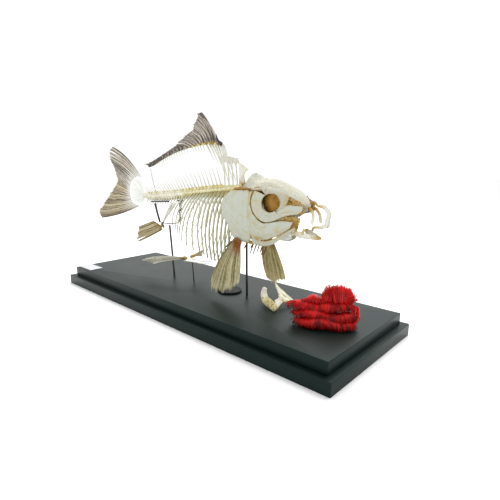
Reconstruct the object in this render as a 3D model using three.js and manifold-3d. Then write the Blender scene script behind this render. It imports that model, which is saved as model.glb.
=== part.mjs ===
// A mounted skeleton of a common carp, life size, on a two-step display board.
// Millimetres, +Z up. X runs from the tail to the mouth, Y from the fish's right side to its
// left, and the origin is the centre of the board's underside.
import * as THREE from 'three';
import { mergeVertices } from 'three/addons/utils/BufferGeometryUtils.js';
import Module from 'manifold-3d';

const wasm = await Module();
wasm.setup();

// ---- Driving dimensions ----------------------------------------------------------------
const GAP = 0.3;
const LOWER_BOARD = { length: 620, width: 216, height: 17.5 };
const STEP = 10;
const DECK = 34;
const ROD = 1.6;

const TAIL_END = -185;
const RIB_END = -59.5;
const FREE_START = 84;
const SKULL_BACK = 88;
const TAIL_HEIGHT = 182;
const COLUMN_RISE = 23;
const RIB_PAIRS = 16;
const TAIL_VERTEBRAE = 14;
const CENTRUM = 4.6;
const WAIST = 3.5;

const HEAD = { middle: 112, halfWidth: 39, frontRate: 0.01295, rearRate: 0.01, height: 178, depth: 75 };
const ORBIT = { x: 161.7, z: 189.7, radius: 12.3 };
const PLATE = 1.5;

const COLOUR = {
  bone: 0xe8e4d4,
  cream: 0xe6dcae,
  stained: 0xa8702c,
  fin: 0x80715f,
  straw: 0xa8945f,
  gill: 0xb01218,
  board: 0x161817,
  steel: 0x1a1a1a,
  label: 0xd5d7d8,
};

const { lerp, smoothstep } = THREE.MathUtils;
const vector = (x, y, z) => new THREE.Vector3(x, y, z);
const hump = (t) => 4 * t * (1 - t);

// ---- Making solids -----------------------------------------------------------------------

// Shared corners are merged, triangles without area dropped, and the faces turned outward.
function closed(geometry) {
  geometry.deleteAttribute('normal');
  geometry.deleteAttribute('uv');
  const merged = mergeVertices(geometry, 1e-4);
  const place = merged.attributes.position;
  const [a, b, c] = [vector(), vector(), vector()];
  const kept = [];
  let volume = 0;
  for (let i = 0; i < merged.index.count; i += 3) {
    const [p, q, r] = [0, 1, 2].map((k) => merged.index.getX(i + k));
    if (p === q || q === r || r === p) continue;
    kept.push(p, q, r);
    a.fromBufferAttribute(place, p);
    b.fromBufferAttribute(place, q);
    c.fromBufferAttribute(place, r);
    volume += a.dot(b.cross(c));
  }
  merged.setIndex(volume < 0 ? kept.reverse() : kept);
  merged.clearGroups();
  return merged;
}

// The surface of a cylinder carried along a centre line: offset gives each section's outline.
function loft(sides, steps, centre, offset) {
  const geometry = new THREE.CylinderGeometry(1, 1, 1, sides, steps);
  const place = geometry.attributes.position;
  for (let i = 0; i < place.count; i += 1) {
    const t = 0.5 - place.getY(i);
    const reach = Math.hypot(place.getX(i), place.getZ(i));
    const angle = Math.atan2(place.getX(i), place.getZ(i));
    const point = centre(t).add(offset(t, angle).multiplyScalar(reach));
    place.setXYZ(i, point.x, point.y, point.z);
  }
  return closed(geometry);
}

// A bar along a path: size(t) is its half-width across and its half-depth.
function bar(path, size, sides, steps, across = vector(0, 1, 0)) {
  const frame = (t) => {
    const ahead = path(Math.min(t + 0.01, 1)).sub(path(Math.max(t - 0.01, 0))).normalize();
    const side = across.clone().addScaledVector(ahead, -across.dot(ahead)).normalize();
    return [side, ahead.cross(side)];
  };
  const turn = Math.PI / sides;
  return loft(sides, steps, path, (t, angle) => {
    const [side, depth] = frame(t);
    const [width, height] = size(t);
    return side.multiplyScalar(width * Math.sin(angle + turn)).addScaledVector(depth, height * Math.cos(angle + turn));
  });
}

function route(...points) {
  const curve = new THREE.CatmullRomCurve3(points.map((p) => vector(...p)));
  return (t) => curve.getPoint(t);
}

function rod(from, to, radius, sides = 8) {
  return bar(route(from, to), () => [radius, radius], sides, 1, vector(0.3, 1, 0));
}

// A sheet with its two faces set apart by thickness(u, v) along the direction lift.
function sheet(columns, rows, middle, thickness, lift = vector(0, 1, 0)) {
  const geometry = new THREE.BoxGeometry(1, 1, 1, columns, rows, 1);
  const place = geometry.attributes.position;
  for (let i = 0; i < place.count; i += 1) {
    const [u, v] = [place.getX(i) + 0.5, place.getY(i) + 0.5];
    const point = middle(u, v).addScaledVector(lift, place.getZ(i) * thickness(u, v));
    place.setXYZ(i, point.x, point.y, point.z);
  }
  return closed(geometry);
}

function toSolid(geometry) {
  return new wasm.Manifold(new wasm.Mesh({
    numProp: 3,
    vertProperties: new Float32Array(geometry.attributes.position.array),
    triVerts: new Uint32Array(geometry.index.array),
  }));
}

function toGeometry(solid) {
  const mesh = solid.getMesh();
  const geometry = new THREE.BufferGeometry();
  geometry.setAttribute('position', new THREE.BufferAttribute(mesh.vertProperties, 3));
  geometry.setIndex(new THREE.BufferAttribute(mesh.triVerts, 1));
  return geometry;
}

function join(...geometries) {
  return toGeometry(geometries.map(toSolid).reduce((whole, piece) => whole.add(piece)));
}

const model = new THREE.Group();

function node(name, geometry, colour, roughness = 0.6) {
  const material = new THREE.MeshStandardMaterial({ color: colour, roughness, metalness: 0 });
  const mesh = new THREE.Mesh(geometry, material);
  mesh.name = name;
  model.add(mesh);
}

// Right is the fish's own right, at -Y.
const SIDES = { R: -1, L: 1 };

function forEachSide(make) {
  Object.entries(SIDES).forEach(([letter, side]) => make(letter, side));
}

// ---- Display board, label and rods ---------------------------------------------------------

function box(length, width, height, x, y, z) {
  return closed(new THREE.BoxGeometry(length, width, height).translate(x, y, z + height / 2));
}

const { length: boardLength, width: boardWidth, height: lowerHeight } = LOWER_BOARD;
const upperLength = boardLength - 2 * STEP;
const upperWidth = boardWidth - 2 * STEP;
node('base_lower_board', box(boardLength, boardWidth, lowerHeight, 0, 0, 0), COLOUR.board, 0.35);
node(
  'base_upper_board',
  box(upperLength, upperWidth, DECK - lowerHeight, 0, 0, lowerHeight),
  COLOUR.board,
  0.35,
);
node('label_plate', box(47, 26, 0.8, -273.5, -79, DECK), COLOUR.label, 0.3);

// A thick rubber disc with a rounded rim and a slightly dished top.
const disc = [[0, 0], [19, 0], [20, 1.4], [19, 3.6], [16.5, 2.9], [0, 2.8]];
const discShape = new THREE.LatheGeometry(disc.map((p) => new THREE.Vector2(...p)), 18);
node('rest_disc', closed(discShape.rotateX(Math.PI / 2).translate(50, 3, DECK)), COLOUR.steel, 0.5);

node('rod_front', rod([91.6, 0, DECK + GAP], [94, 0, 193], ROD), COLOUR.steel, 0.4);
node('rod_rear', rod([-92, -3.7, DECK + GAP], [-103, -2.4, 131.4], ROD), COLOUR.steel, 0.4);
node('rod_pelvic', rod([-33, -5, DECK + GAP], [-36, -5, 70.6], 1.1), COLOUR.steel, 0.4);

// The rear cradle: a saddle bar beside the haemal arches, a stout strut, a low cross wire that
// the rear rod carries, and a doubled wire twisted on itself.
node('cradle_saddle', rod([-156, -5.4, 171.6], [-97, -5.4, 175.6], 1.3, 6), COLOUR.steel, 0.4);
node('cradle_strut', rod([-143, -5, 169.6], [-132, -3, 132.6], 2.1, 8), COLOUR.steel, 0.4);
const cross = route([-129.6, -2.4, 133], [-116, -2.4, 133], [-100, -2.4, 134], [-72, -4.4, 139]);
node('cradle_crosswire', bar(cross, () => [0.8, 0.8], 6, 3, vector(0, 1, 0.2)), COLOUR.steel, 0.4);
const TWISTS = 1.5;
const twist = loft(
  4,
  12,
  (t) => vector(lerp(-69.5, -64.5, t), -4.6, lerp(141.8, 178.4, t)),
  (t, angle) => {
    const turn = 2 * Math.PI * TWISTS * t;
    const [wide, thin] = [2.3 * Math.sin(angle), 1.2 * Math.cos(angle)];
    return vector(wide * Math.cos(turn) - thin * Math.sin(turn), wide * Math.sin(turn) + thin * Math.cos(turn), 0);
  },
);
const cap = rod([-74, -4.6, 177.6], [-54, -4.6, 179.6], 1.6, 6);
node('cradle_twist', join(twist, cap), COLOUR.steel, 0.4);

// ---- Vertebral column ------------------------------------------------------------------------

// Height of the centre line: it rises in one smooth sweep from the tail to the skull.
const columnHeight = (x) => TAIL_HEIGHT + COLUMN_RISE * smoothstep(x, TAIL_END, TAIL_END + 290);

// Each centrum is an hourglass, so the outline swells at every joint between two of them.
function column(from, to, count, arc, sides) {
  return loft(
    sides,
    2 * count,
    (t) => vector(lerp(from, to, t), 0, columnHeight(lerp(from, to, t))),
    (t, angle) => {
      const step = Math.round(2 * count * t);
      const x = lerp(from, to, t);
      const shrink = lerp(0.72, 1, smoothstep(x, TAIL_END, -80));
      return arc(angle, (step % 2 ? WAIST : CENTRUM) * shrink);
    },
  );
}

// The trunk's centra are parted lengthwise: the upper half carries the neural spines, and each
// lower quarter carries the ribs of its side. A section is a fan of points round the centre.
const upperHalf = (angle, radius) => {
  const turn = Math.PI * ((angle / Math.PI + 1) / 2);
  const sweep = lerp(-0.5, 0.5, THREE.MathUtils.clamp((turn / Math.PI) * 1.2 - 0.1, 0, 1)) * Math.PI;
  return vector(0, radius * Math.sin(sweep), radius * Math.cos(sweep) + GAP / 2);
};

function lowerQuarter(side) {
  return (angle, radius) => {
    const corner = Math.round((angle / (2 * Math.PI)) * 3 + 3) % 3;
    const inset = GAP / 2;
    if (corner === 0) return vector(0, side * inset, -inset);
    const sweep = lerp(0.12, 0.88, corner - 1) * (Math.PI / 2);
    return vector(0, side * (inset + radius * Math.sin(sweep)), -inset - radius * Math.cos(sweep));
  };
}

const trunkPitch = (FREE_START - RIB_END) / RIB_PAIRS;
const tailPitch = (RIB_END - GAP - TAIL_END) / TAIL_VERTEBRAE;
const trunkVertebrae = Array.from({ length: RIB_PAIRS }, (_, i) => FREE_START - (i + 0.5) * trunkPitch);
const tailVertebrae = Array.from({ length: TAIL_VERTEBRAE }, (_, i) => RIB_END - GAP - (i + 0.5) * tailPitch);

// A neural or haemal spine leans back from its arch and ends in a point.
function spine(x, direction, length, lean) {
  const base = columnHeight(x) + direction * 1.3;
  const path = (t) => vector(
    x + 1.5 - lean * length * t * lerp(0.75, 1, t),
    0,
    base + direction * (length + 2.5) * t,
  );
  return bar(path, (t) => [lerp(1.9, 0.5, Math.sqrt(t)), lerp(2.2, 0.5, Math.sqrt(t))], 3, 1);
}

const neuralLength = (x) => 13 + 19 * smoothstep(x, -175, 10);
const neuralLean = (x) => lerp(0.75, 0.3, smoothstep(x, -150, 60));

// Behind the skull the spines carry the supraneural bones, rods with a flared upper end.
const SUPRANEURALS = 4;
const crownHeight = (x) => lerp(252.6, 249.4, smoothstep(x, 42, 74));

function supraneural(x) {
  const foot = columnHeight(x) + 14;
  const path = route([x + 0.5, 0, foot - 12], [x - 2, 0, foot + 14], [x - 4, 0, crownHeight(x)]);
  return bar(path, (t) => [0.8, lerp(1.1, 4.1, t ** 4)], 4, 3);
}

const trunkSpines = trunkVertebrae.map((x, i) => (
  i > 0 && i <= SUPRANEURALS ? supraneural(x) : spine(x, 1, i ? neuralLength(x) : 4, neuralLean(x))
));
node(
  'spine_trunk',
  join(column(RIB_END, FREE_START, RIB_PAIRS, upperHalf, 5), ...trunkSpines),
  COLOUR.cream,
);

// The ribs bow outward and curve back; they are longest under the fourth to eighth vertebrae.
const RIB_BOW = 15.5;
const ribTip = (x) => 86 + 0.0049 * (x - 45) ** 2;
const ribSweep = (x) => 19 + 25 * (1 - smoothstep(x, -18, 14)) - 10 * (1 - smoothstep(x, -46, -20));
const ribBend = (x) => lerp(1.4, 0.62, smoothstep(x, -46, 12)) + 0.25 * smoothstep(x, 30, 60);

function rib(x, side) {
  const top = columnHeight(x) - 1.8;
  const path = (t) => vector(
    x + 1 - ribSweep(x) * ((t + 0.02) ** ribBend(x) - 0.02 ** ribBend(x)),
    side * (1.7 + RIB_BOW * Math.sin(Math.PI * 0.87 * t ** 0.8)),
    lerp(top, ribTip(x), t),
  );
  const strength = lerp(0.75, 1.15, smoothstep(x, -60, 50));
  return bar(path, (t) => [strength, strength * lerp(1.6, 0.8, t)], 3, 4, vector(0, 0, 1));
}

forEachSide((letter, side) => {
  const quarter = column(RIB_END, FREE_START, RIB_PAIRS, lowerQuarter(side), 3);
  node(`ribs_${letter}`, join(quarter, ...trunkVertebrae.map((x) => rib(x, side))), COLOUR.cream);
});

// The tail's vertebrae carry a spine above and below; the last one flares into the tail plates.
const haemalLength = (x) => 12 + 11 * smoothstep(x, -185, -90);
const round = (angle, radius) => vector(0, radius * Math.sin(angle), radius * Math.cos(angle));
const tailSpines = tailVertebrae.slice(0, -1).flatMap((x) => [
  spine(x, 1, neuralLength(x), neuralLean(x)),
  spine(x, -1, haemalLength(x), neuralLean(x)),
]);
node(
  'spine_tail',
  join(column(TAIL_END, RIB_END - GAP, TAIL_VERTEBRAE, round, 6), ...tailSpines),
  COLOUR.cream,
);

// ---- Fins --------------------------------------------------------------------------------------

// Rays run from the root edge to the tip edge. Each is a ridge, the skin between two rays is
// thinner and a little shorter, and bow(u) carries the middle of a ray off the straight line.
function fin({ root, tip, rays, bow, ridge = 2.2, web = 0.9, notch = 0.1, rows = 2, lift = vector(0, 1, 0) }) {
  const columns = 2 * rays - 2;
  const isWeb = (u) => Math.round(u * columns) % 2 === 1;
  return sheet(
    columns,
    rows,
    (u, v) => {
      const reach = isWeb(u) ? v * (1 - notch * v) : v;
      return root(u).lerp(tip(u), reach).addScaledVector(bow(u), hump(reach));
    },
    (u, v) => (isWeb(u) ? lerp(web * 1.4, web, v) : lerp(ridge, web, v)),
    lift,
  );
}

// The bony fan that ends the column: a set of hypural plates, grooved between each two.
const hypurals = fin({
  root: route([TAIL_END - 2 * GAP, 0, 187], [TAIL_END - 2 * GAP, 0, 177]),
  tip: route([-190, 0, 216], [-212, 0, 219], [-231, 0, 206], [-237, 0, 190], [-235, 0, 178], [-227, 0, 168], [-196, 0, 163]),
  rays: 8,
  bow: () => vector(0, 0, 0),
  ridge: 3.6,
  web: 1.4,
  notch: 0.04,
  rows: 2,
});
node('hypural_plates', hypurals, COLOUR.bone);

// The forked tail: the upper lobe stands in the fish's own plane, the lower one turns to the right.
node('caudal_fin_upper', fin({
  root: route([-191, -0.4, 219], [-213, -0.4, 221.5], [-233.5, -0.8, 207.5], [-239.5, -1, 191.5]),
  tip: route([-298, -3, 280], [-311, -3, 267], [-307, -3, 252], [-293, -3, 234], [-279, -3, 211.5]),
  rays: 10,
  bow: (u) => vector(0, 0, lerp(12, 0, Math.min(1, 1.6 * u))),
}), COLOUR.fin);
node('caudal_fin_lower', fin({
  root: route([-239.6, -1, 190], [-237.6, -0.8, 177], [-229, -0.4, 165.5], [-203, 0, 160.5]),
  tip: route([-279, -5, 204], [-293, -9, 190], [-311, -13, 173], [-325, -18, 156], [-339, -22, 141], [-328, -22, 128]),
  rays: 10,
  bow: (u) => vector(0, 0, lerp(0, -3, u)),
}), COLOUR.straw);

// The dorsal fin: a high front and a long low rear, on pterygiophores that point down between
// the neural spines. The front ones reach the spines, the rest are short spikes.
function spike(top, foot, size) {
  return bar(route(top, foot), (t) => [lerp(size, 0.5, t), lerp(size, 0.5, t)], 4, 1, vector(0.2, 1, 0));
}

const dorsalFront = fin({
  root: route([31, 0, 272], [10, 0, 274.5], [-14, 0, 273.5], [-40, 0, 270]),
  tip: route([-9, 0, 324.4], [-17, 0, 322], [-28, 0, 309], [-33, 0, 300], [-50, 0, 291.5], [-68, 0, 283.5], [-79, 0, 278]),
  rays: 10,
  bow: (u) => vector(lerp(5.5, 3, u), 0, lerp(3, 2, u)),
  ridge: 2.6,
});
const frontSupports = [[29, 61, 220], [24, 51, 216], [11, 37, 228], [-3, 23, 240]].map(([x, foot, z]) => (
  bar(route([x, 0.9, 274], [lerp(x, foot, 0.4), 2.7, 252], [foot, 2.6, z]), (t) => [lerp(0.9, 0.6, t), lerp(2.4, 0.8, t)], 4, 2)
));
const shortSupports = [-12, -22, -32].map((x) => spike([x, 0, 275], [x + 8, 0, 261], 1.1));
node('dorsal_fin_front', join(dorsalFront, ...frontSupports, ...shortSupports), COLOUR.fin);

const dorsalRear = fin({
  root: route([-41.4, 0, 269.4], [-84, 0, 260.5], [-119, 0, 250], [-150, 0, 238.5], [-166, 0, 235.5]),
  tip: route([-80.5, 0, 273.6], [-91, 0, 268.5], [-112, 0, 262.5], [-136, 0, 254], [-156, 0, 246], [-178, 0, 239]),
  rays: 10,
  bow: () => vector(4, 0, 2.5),
  ridge: 2.6,
});
const dorsalBase = route([-46, 0, 269.5], [-84, 0, 261.5], [-119, 0, 251], [-150, 0, 239.8]);
const rearSupports = Array.from({ length: 9 }, (_, i) => {
  const top = dorsalBase(0.04 + i / 9.2);
  return spike([top.x, 0, top.z + 1], [top.x + 6, 0, top.z - lerp(11, 5, i / 8)], 1);
});
node('dorsal_fin_rear', join(dorsalRear, ...rearSupports), COLOUR.fin);

// The stiff front spine of the dorsal fin's base, and a thin wire that holds the fin's rear end.
const thorn = route([43, 0, 270.8], [37, 0, 277], [30.4, 0, 287]);
node('dorsal_thorn', bar(thorn, (t) => [lerp(1.6, 0.5, t), lerp(2.4, 0.6, t)], 6, 3), COLOUR.steel);
node('dorsal_wire', rod([-166, 3.4, 234], [-154, 5.4, 190], 0.35, 5), COLOUR.steel, 0.4);

// The first supraneural bone behind the skull is a tall plate with a flared head.
const plateHead = sheet(
  4,
  3,
  (u, v) => {
    const reach = lerp(4.6, 10, Math.max(0, 2 * v - 1) ** 1.3);
    return vector(82.6 - hump(v) * 2 + reach * (u - 0.5) * 2, 0, lerp(212.4, 239.4, v) - (u - 0.5) * 11 * v ** 3);
  },
  (u, v) => lerp(2.4, 1.4, v),
);
node('supraneural_plate', plateHead, COLOUR.bone);

// The anal fin hangs from two long blade-shaped pterygiophores.
node('anal_fin', fin({
  root: route([-131.6, 0, 118], [-134, 0, 125.5], [-146, 0, 130.4], [-160, 0, 134]),
  tip: route([-228, 0, 79.5], [-224, 0, 92], [-220, 0, 106], [-213, 0, 116.5]),
  rays: 8,
  bow: (u) => vector(0, 0, lerp(-1, 1, u)),
  ridge: 3,
}), COLOUR.straw);
const blades = [[-88, -127], [-97, -130]].map(([top, foot], i) => bar(
  route([top, 1.6, 172], [lerp(top, foot, 0.55), 1.4, 152], [foot, 0, 131.5 - i]),
  (t) => [0.8, lerp(1.2, 3.2, Math.sin(Math.PI * Math.min(1, 0.2 + t)))],
  4,
  4,
));
const knuckle = new THREE.SphereGeometry(1, 8, 5).scale(4, 2.4, 3).translate(-129.6, 0, 129.5);
node('anal_pterygiophores', join(...blades, closed(knuckle)), COLOUR.cream);

// ---- Pelvic girdle and pelvic fins --------------------------------------------------------------

const GIRDLE = { rear: -49, front: 14, height: 73.5 };

function girdlePlate(side) {
  return sheet(
    5,
    2,
    (u, v) => {
      const x = lerp(GIRDLE.rear, GIRDLE.front, u);
      const half = lerp(7, 1.2, u ** 0.8) * (1 - 0.5 * hump(u) * 0.4);
      return vector(x, side * (lerp(6.2, 8.5, u) + (v - 0.5) * 2 * half), GIRDLE.height + 4 * u - 1.5 * hump(u));
    },
    (u) => lerp(3, 1.4, u),
    vector(0, 0, 1),
  );
}

const girdleBridge = bar(route([-46, -5, 73.6], [-46, 5, 73.6]), () => [2.6, 1.5], 6, 1, vector(1, 0, 0));
node('pelvic_girdle', join(girdlePlate(-1), girdlePlate(1), girdleBridge), COLOUR.bone);

function pelvicFin(root, tip, lift) {
  return fin({ root: route(...root), tip: route(...tip), rays: 8, bow: () => vector(0, 0, 1), ridge: 2.6, lift });
}

node('pelvic_fin_R', pelvicFin(
  [[-51.8, -13, 79], [-54, -11, 77], [-52.7, -9, 74.6]],
  [[-104, -44, 77], [-122, -54, 70], [-122, -46, 65], [-106, -40, 62]],
  vector(-0.45, 0.75, 0.4),
), COLOUR.straw);
node('pelvic_fin_L', pelvicFin(
  [[-51.8, 13, 79], [-54, 9, 77.5], [-52.7, 4.5, 74.5]],
  [[-66, 51, 81.5], [-71, 52, 78], [-72, 51, 71], [-70, 49, 66.5]],
  vector(0.85, 0.35, -0.4),
), COLOUR.straw);

// ---- Skull ---------------------------------------------------------------------------------------

// The roof slopes from a rough crest at the back to the snout. The sides turn in under the roof's
// edge to a narrow keel, which leaves a deep hollow for each eye.
const roof = route(
  [SKULL_BACK, 0, 210.5],
  [99, 0, 222.6],
  [109, 0, 229],
  [118, 0, 224.5],
  [127, 0, 220.8],
  [146, 0, 221],
  [158, 0, 217.4],
  [170.5, 0, 211.6],
  [186, 0, 202.5],
  [196, 0, 195],
  [204, 0, 187],
);
const edge = route(
  [SKULL_BACK, 4.5, 207],
  [100, 14, 207.5],
  [112, 27, 206.5],
  [124, 32, 206],
  [138, 31.5, 207.5],
  [150, 28, 208],
  [162, 25, 206.5],
  [176, 21.5, 203],
  [190, 15.5, 196],
  [198, 11, 191],
  [204, 5, 185.5],
);
const keel = route(
  [SKULL_BACK, 3, 199],
  [106, 4.5, 193],
  [124, 6, 184],
  [145, 5, 176],
  [165, 4.5, 173],
  [185, 5, 174.5],
  [204, 3.5, 180.5],
);
const sectionAt = [0, 1 / 6, 1 / 3, 1 / 2, 2 / 3, 5 / 6, 1];
const neurocranium = loft(
  12,
  15,
  (t) => vector(roof(t).x, 0, lerp(edge(t).z, keel(t).z, 0.35)),
  (t, angle) => {
    const [top, brow, foot] = [roof(t), edge(t), keel(t)];
    const around = Math.abs(angle) / Math.PI;
    const corner = sectionAt.reduce((best, value, i) => (Math.abs(value - around) < 0.02 ? i : best), 0);
    const across = [0, 0.58 * brow.y, brow.y, 0.86 * brow.y, 0.4 * brow.y, foot.y, 0][corner];
    const height = [
      top.z,
      lerp(top.z, brow.z, 0.3),
      brow.z,
      brow.z - 6,
      lerp(brow.z, foot.z, 0.55),
      foot.z + 3,
      foot.z,
    ][corner];
    const middle = lerp(brow.z, foot.z, 0.35);
    return vector(0, Math.sign(angle) * across, height - middle);
  },
);
node('neurocranium', neurocranium, COLOUR.bone);

// The cheek: the bowed surface on which the bones of one side of the head lie.
function cheek(x, z) {
  const rate = x > HEAD.middle ? HEAD.frontRate : HEAD.rearRate;
  const width = HEAD.halfWidth * Math.cos((x - HEAD.middle) * rate);
  return width * Math.sqrt(1 - ((z - HEAD.height) / HEAD.depth) ** 2);
}

// A curved plate of the cheek between four edges, each given as (x, z) places.
function cheekPlate({ side, bottom, top, columns, rows, depth = 1, thickness = PLATE }) {
  const line = (points) => new THREE.SplineCurve(points.map((p) => new THREE.Vector2(...p)));
  const [low, high] = [line(bottom), line(top)];
  return sheet(
    columns,
    rows,
    (u, v) => {
      const at = low.getPoint(u).lerp(high.getPoint(u), v);
      return vector(at.x, side * cheek(at.x, at.y) * depth, at.y);
    },
    () => thickness,
  );
}

// The gill cover is the largest plate of the head, smooth and gently domed.
forEachSide((letter, side) => node(`opercle_${letter}`, cheekPlate({
  side,
  bottom: [[93, 204.5], [78, 192], [73.5, 180], [74.5, 167], [84, 156], [88, 145], [93, 136], [108, 131], [122, 131.5]],
  top: [[108, 205], [118, 205], [127, 204.5], [129, 190], [127.6, 180], [127, 165], [127, 155], [127.4, 145], [127.6, 137]],
  columns: 8,
  rows: 4,
}), COLOUR.bone));

forEachSide((letter, side) => node(`preopercle_${letter}`, cheekPlate({
  side,
  bottom: [[129.6, 204], [129.8, 190], [128.6, 172], [129.4, 150], [136, 139.5], [148, 137.6], [160, 140.5], [174, 147.5], [189, 158]],
  top: [[134, 204], [131.8, 194], [132, 184], [138.6, 170], [149.5, 161], [158, 162], [167, 164], [178, 166.5], [192, 166]],
  columns: 11,
  rows: 2,
}), COLOUR.bone));

forEachSide((letter, side) => node(`interopercle_${letter}`, cheekPlate({
  side,
  bottom: [[129, 129.6], [137, 128.5], [148, 128.2], [160, 131.5], [170, 137.5], [180, 145], [195, 156]],
  top: [[130, 143], [136, 138.4], [148, 136.4], [160, 139.2], [173, 145.8], [183, 152.4], [194, 160]],
  columns: 8,
  rows: 2,
  depth: 0.97,
}), COLOUR.bone));

// Thin bones ring the eye from behind and below; a broader plate closes the front of the ring.
const rim = (degrees) => {
  const angle = THREE.MathUtils.degToRad(degrees);
  return [ORBIT.x + ORBIT.radius * Math.cos(angle), ORBIT.z + ORBIT.radius * Math.sin(angle)];
};
forEachSide((letter, side) => node(`infraorbitals_${letter}`, cheekPlate({
  side,
  bottom: [[140, 204.5], [135.4, 195], [135.6, 185], [140.4, 175.6], [147.4, 168.6], [156, 165], [167, 167.8], [174, 170]],
  top: [122, 147, 172, 198, 224, 250, 276, 298].map(rim),
  columns: 12,
  rows: 2,
  depth: 0.985,
}), COLOUR.bone));

forEachSide((letter, side) => node(`lachrymal_${letter}`, cheekPlate({
  side,
  bottom: [[174.6, 170.2], [182, 173], [190, 174.8], [198, 176.5], [203, 181], [203.6, 187]],
  top: [[168.4, 178], [174.5, 183], [180, 187], [187, 188.4], [193, 187.6], [198.6, 187.4]],
  columns: 7,
  rows: 2,
  depth: 0.96,
}), COLOUR.bone));

// Inside the cheek the palatal bones and the quadrate hang from the skull to the jaw joint.
// The left quadrate is missing.
const PALATE = {
  bottom: [[137, 198], [134, 182], [138, 164], [150, 158], [165, 156.5], [180, 156], [189, 154.5], [196, 154.5]],
  top: [[146, 196], [147, 182], [151, 176], [158, 172], [168, 171], [180, 173], [191, 173], [200, 169.5]],
};
forEachSide((letter, side) => node(`suspensorium_${letter}`, cheekPlate({
  side,
  bottom: PALATE.bottom.slice(0, side < 0 ? 8 : 6),
  top: PALATE.top.slice(0, side < 0 ? 8 : 6),
  columns: side < 0 ? 10 : 8,
  rows: 2,
  depth: 0.82,
  thickness: 2.2,
}), COLOUR.stained));

// ---- Jaws ----------------------------------------------------------------------------------------

forEachSide((letter, side) => {
  const ramus = bar(
    route([189, side * 13.6, 151.4], [199, side * 11.4, 148.6], [210, side * 7, 146.6], [223.4, side * 2.6, 144.4]),
    (t) => [lerp(1.4, 1, t), lerp(3.4, 1.8, t)],
    6,
    4,
  );
  const coronoid = bar(
    route([200.4, side * 11.6, 149], [205, side * 11.4, 157]),
    (t) => [lerp(1.2, 0.8, t), lerp(3, 1.6, t)],
    4,
    1,
  );
  node(`lower_jaw_${letter}`, join(ramus, coronoid), COLOUR.bone);
});

// The upper jaw is pushed forward: each premaxilla is a hooked bar, and the maxilla is a strut
// behind it, with the small kinethmoid between the two sides at the top.
forEachSide((letter, side) => {
  const path = route(
    [218, side * 1.9, 188],
    [227, side * 2, 186],
    [234.4, side * 2, 178.6],
    [232.8, side * 2.4, 170],
    [231.6, side * 4, 162.4],
    [224, side * 9, 161],
    [218.6, side * 11, 160.6],
  );
  node(
    `premaxilla_${letter}`,
    bar(path, (t) => [lerp(1.1, 1.5, hump(t)), lerp(1.4, 2.2, hump(t))], 6, 9, vector(0, 1, 0.01)),
    COLOUR.bone,
  );
  const strut = route(
    [206.6, side * 5.6, 184],
    [212, side * 6.4, 181.4],
    [216, side * 7.6, 175],
    [216, side * 9.6, 168.4],
    [216, side * 10.6, 164.4],
  );
  node(
    `maxilla_${letter}`,
    bar(strut, (t) => [1.2, lerp(2.3, 1.2, t)], 6, 6, vector(0, 1, 0.01)),
    COLOUR.stained,
  );
});
const link = route([206.4, 0, 190.6], [212, 0, 191.4], [216.4, 0, 188.4]);
node('kinethmoid', bar(link, (t) => [lerp(2.8, 1.6, t), lerp(2.6, 1.7, t)], 6, 3), COLOUR.stained);

// ---- Throat and shoulder ---------------------------------------------------------------------------

// The hyoid bars run back inside the jaws. Three thin rays hang from each, and a deep thin plate,
// the urohyal, hangs between the two sides.
const hyoidParts = [];
forEachSide((letter, side) => {
  const arm = route([178, side * 3, 146], [160, side * 10, 144], [140, side * 17, 147], [122, side * 21, 152]);
  hyoidParts.push(bar(arm, (t) => [1.6, lerp(3, 4, t)], 4, 4));
  [[0.9, 105, 107.5, 9], [0.72, 110.4, 106.5, 9], [0.56, 123, 107.5, 4]].forEach(([t, footX, footZ, out]) => {
    const start = arm(t);
    const ray = route(
      [start.x, start.y, start.z],
      [lerp(start.x, footX, 0.6), side * out, 130],
      [footX, side * (out - 1), footZ],
    );
    hyoidParts.push(bar(ray, (s) => [0.7, lerp(1.6, 0.6, s)], 3, 3));
  });
});
const urohyal = sheet(
  5,
  2,
  (u, v) => vector(lerp(148, 176, u), 0, lerp(lerp(139, 134, hump(u)), 146, v)),
  () => 1.6,
);
const tongue = bar(route([170, 0, 145], [182, 0, 148.5]), () => [3.8, 2.4], 6, 1);
node('hyoid_arch', join(urohyal, tongue, ...hyoidParts), COLOUR.bone);

// The shoulder girdle is a curved bar behind the gill cover that swings forward under the throat.
forEachSide((letter, side) => {
  const inside = (x, z) => [x, side * (cheek(x, z) * 0.86), z];
  const path = route(
    [132, side * 35, 207.9],
    [108, side * 33.5, 207.7],
    inside(94, 203),
    inside(87, 180),
    inside(90, 154),
    inside(101, 137),
    [116, side * 23, 130.5],
    [128, side * 13, 128.5],
    [137, side * 2.4, 128],
  );
  node(`cleithrum_${letter}`, bar(path, (t) => [1.1, lerp(2, 3.4, hump(t))], 4, 12, vector(0, 1, 0.01)), COLOUR.stained);
});

// The pectoral fins hang from the shoulder. The right one sweeps back, the left one hangs forward.
const pectoral = {
  R: {
    root: route([95, -35, 133], [104, -36, 133], [112.4, -35, 129]),
    tip: route([47, -37, 56], [49, -37, 42.6], [68, -37, 43.6], [92, -37, 52], [111, -37, 68]),
    bow: (u) => vector(lerp(-9, 1, u), 0, 0),
  },
  L: {
    root: route([97, 35, 132], [104, 36, 132], [112, 35, 129]),
    tip: route([98, 37, 68], [104, 37, 57], [115, 37, 51], [128, 37, 56], [142, 37, 62]),
    bow: (u) => vector(lerp(-6, 2, u), 0, 2),
  },
};
forEachSide((letter) => node(
  `pectoral_fin_${letter}`,
  fin({ ...pectoral[letter], rays: 10, ridge: 3, web: 0.9, notch: 0.05 }),
  COLOUR.straw,
));

// ---- Throat teeth and gills, laid out on the board ----------------------------------------------------

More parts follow.
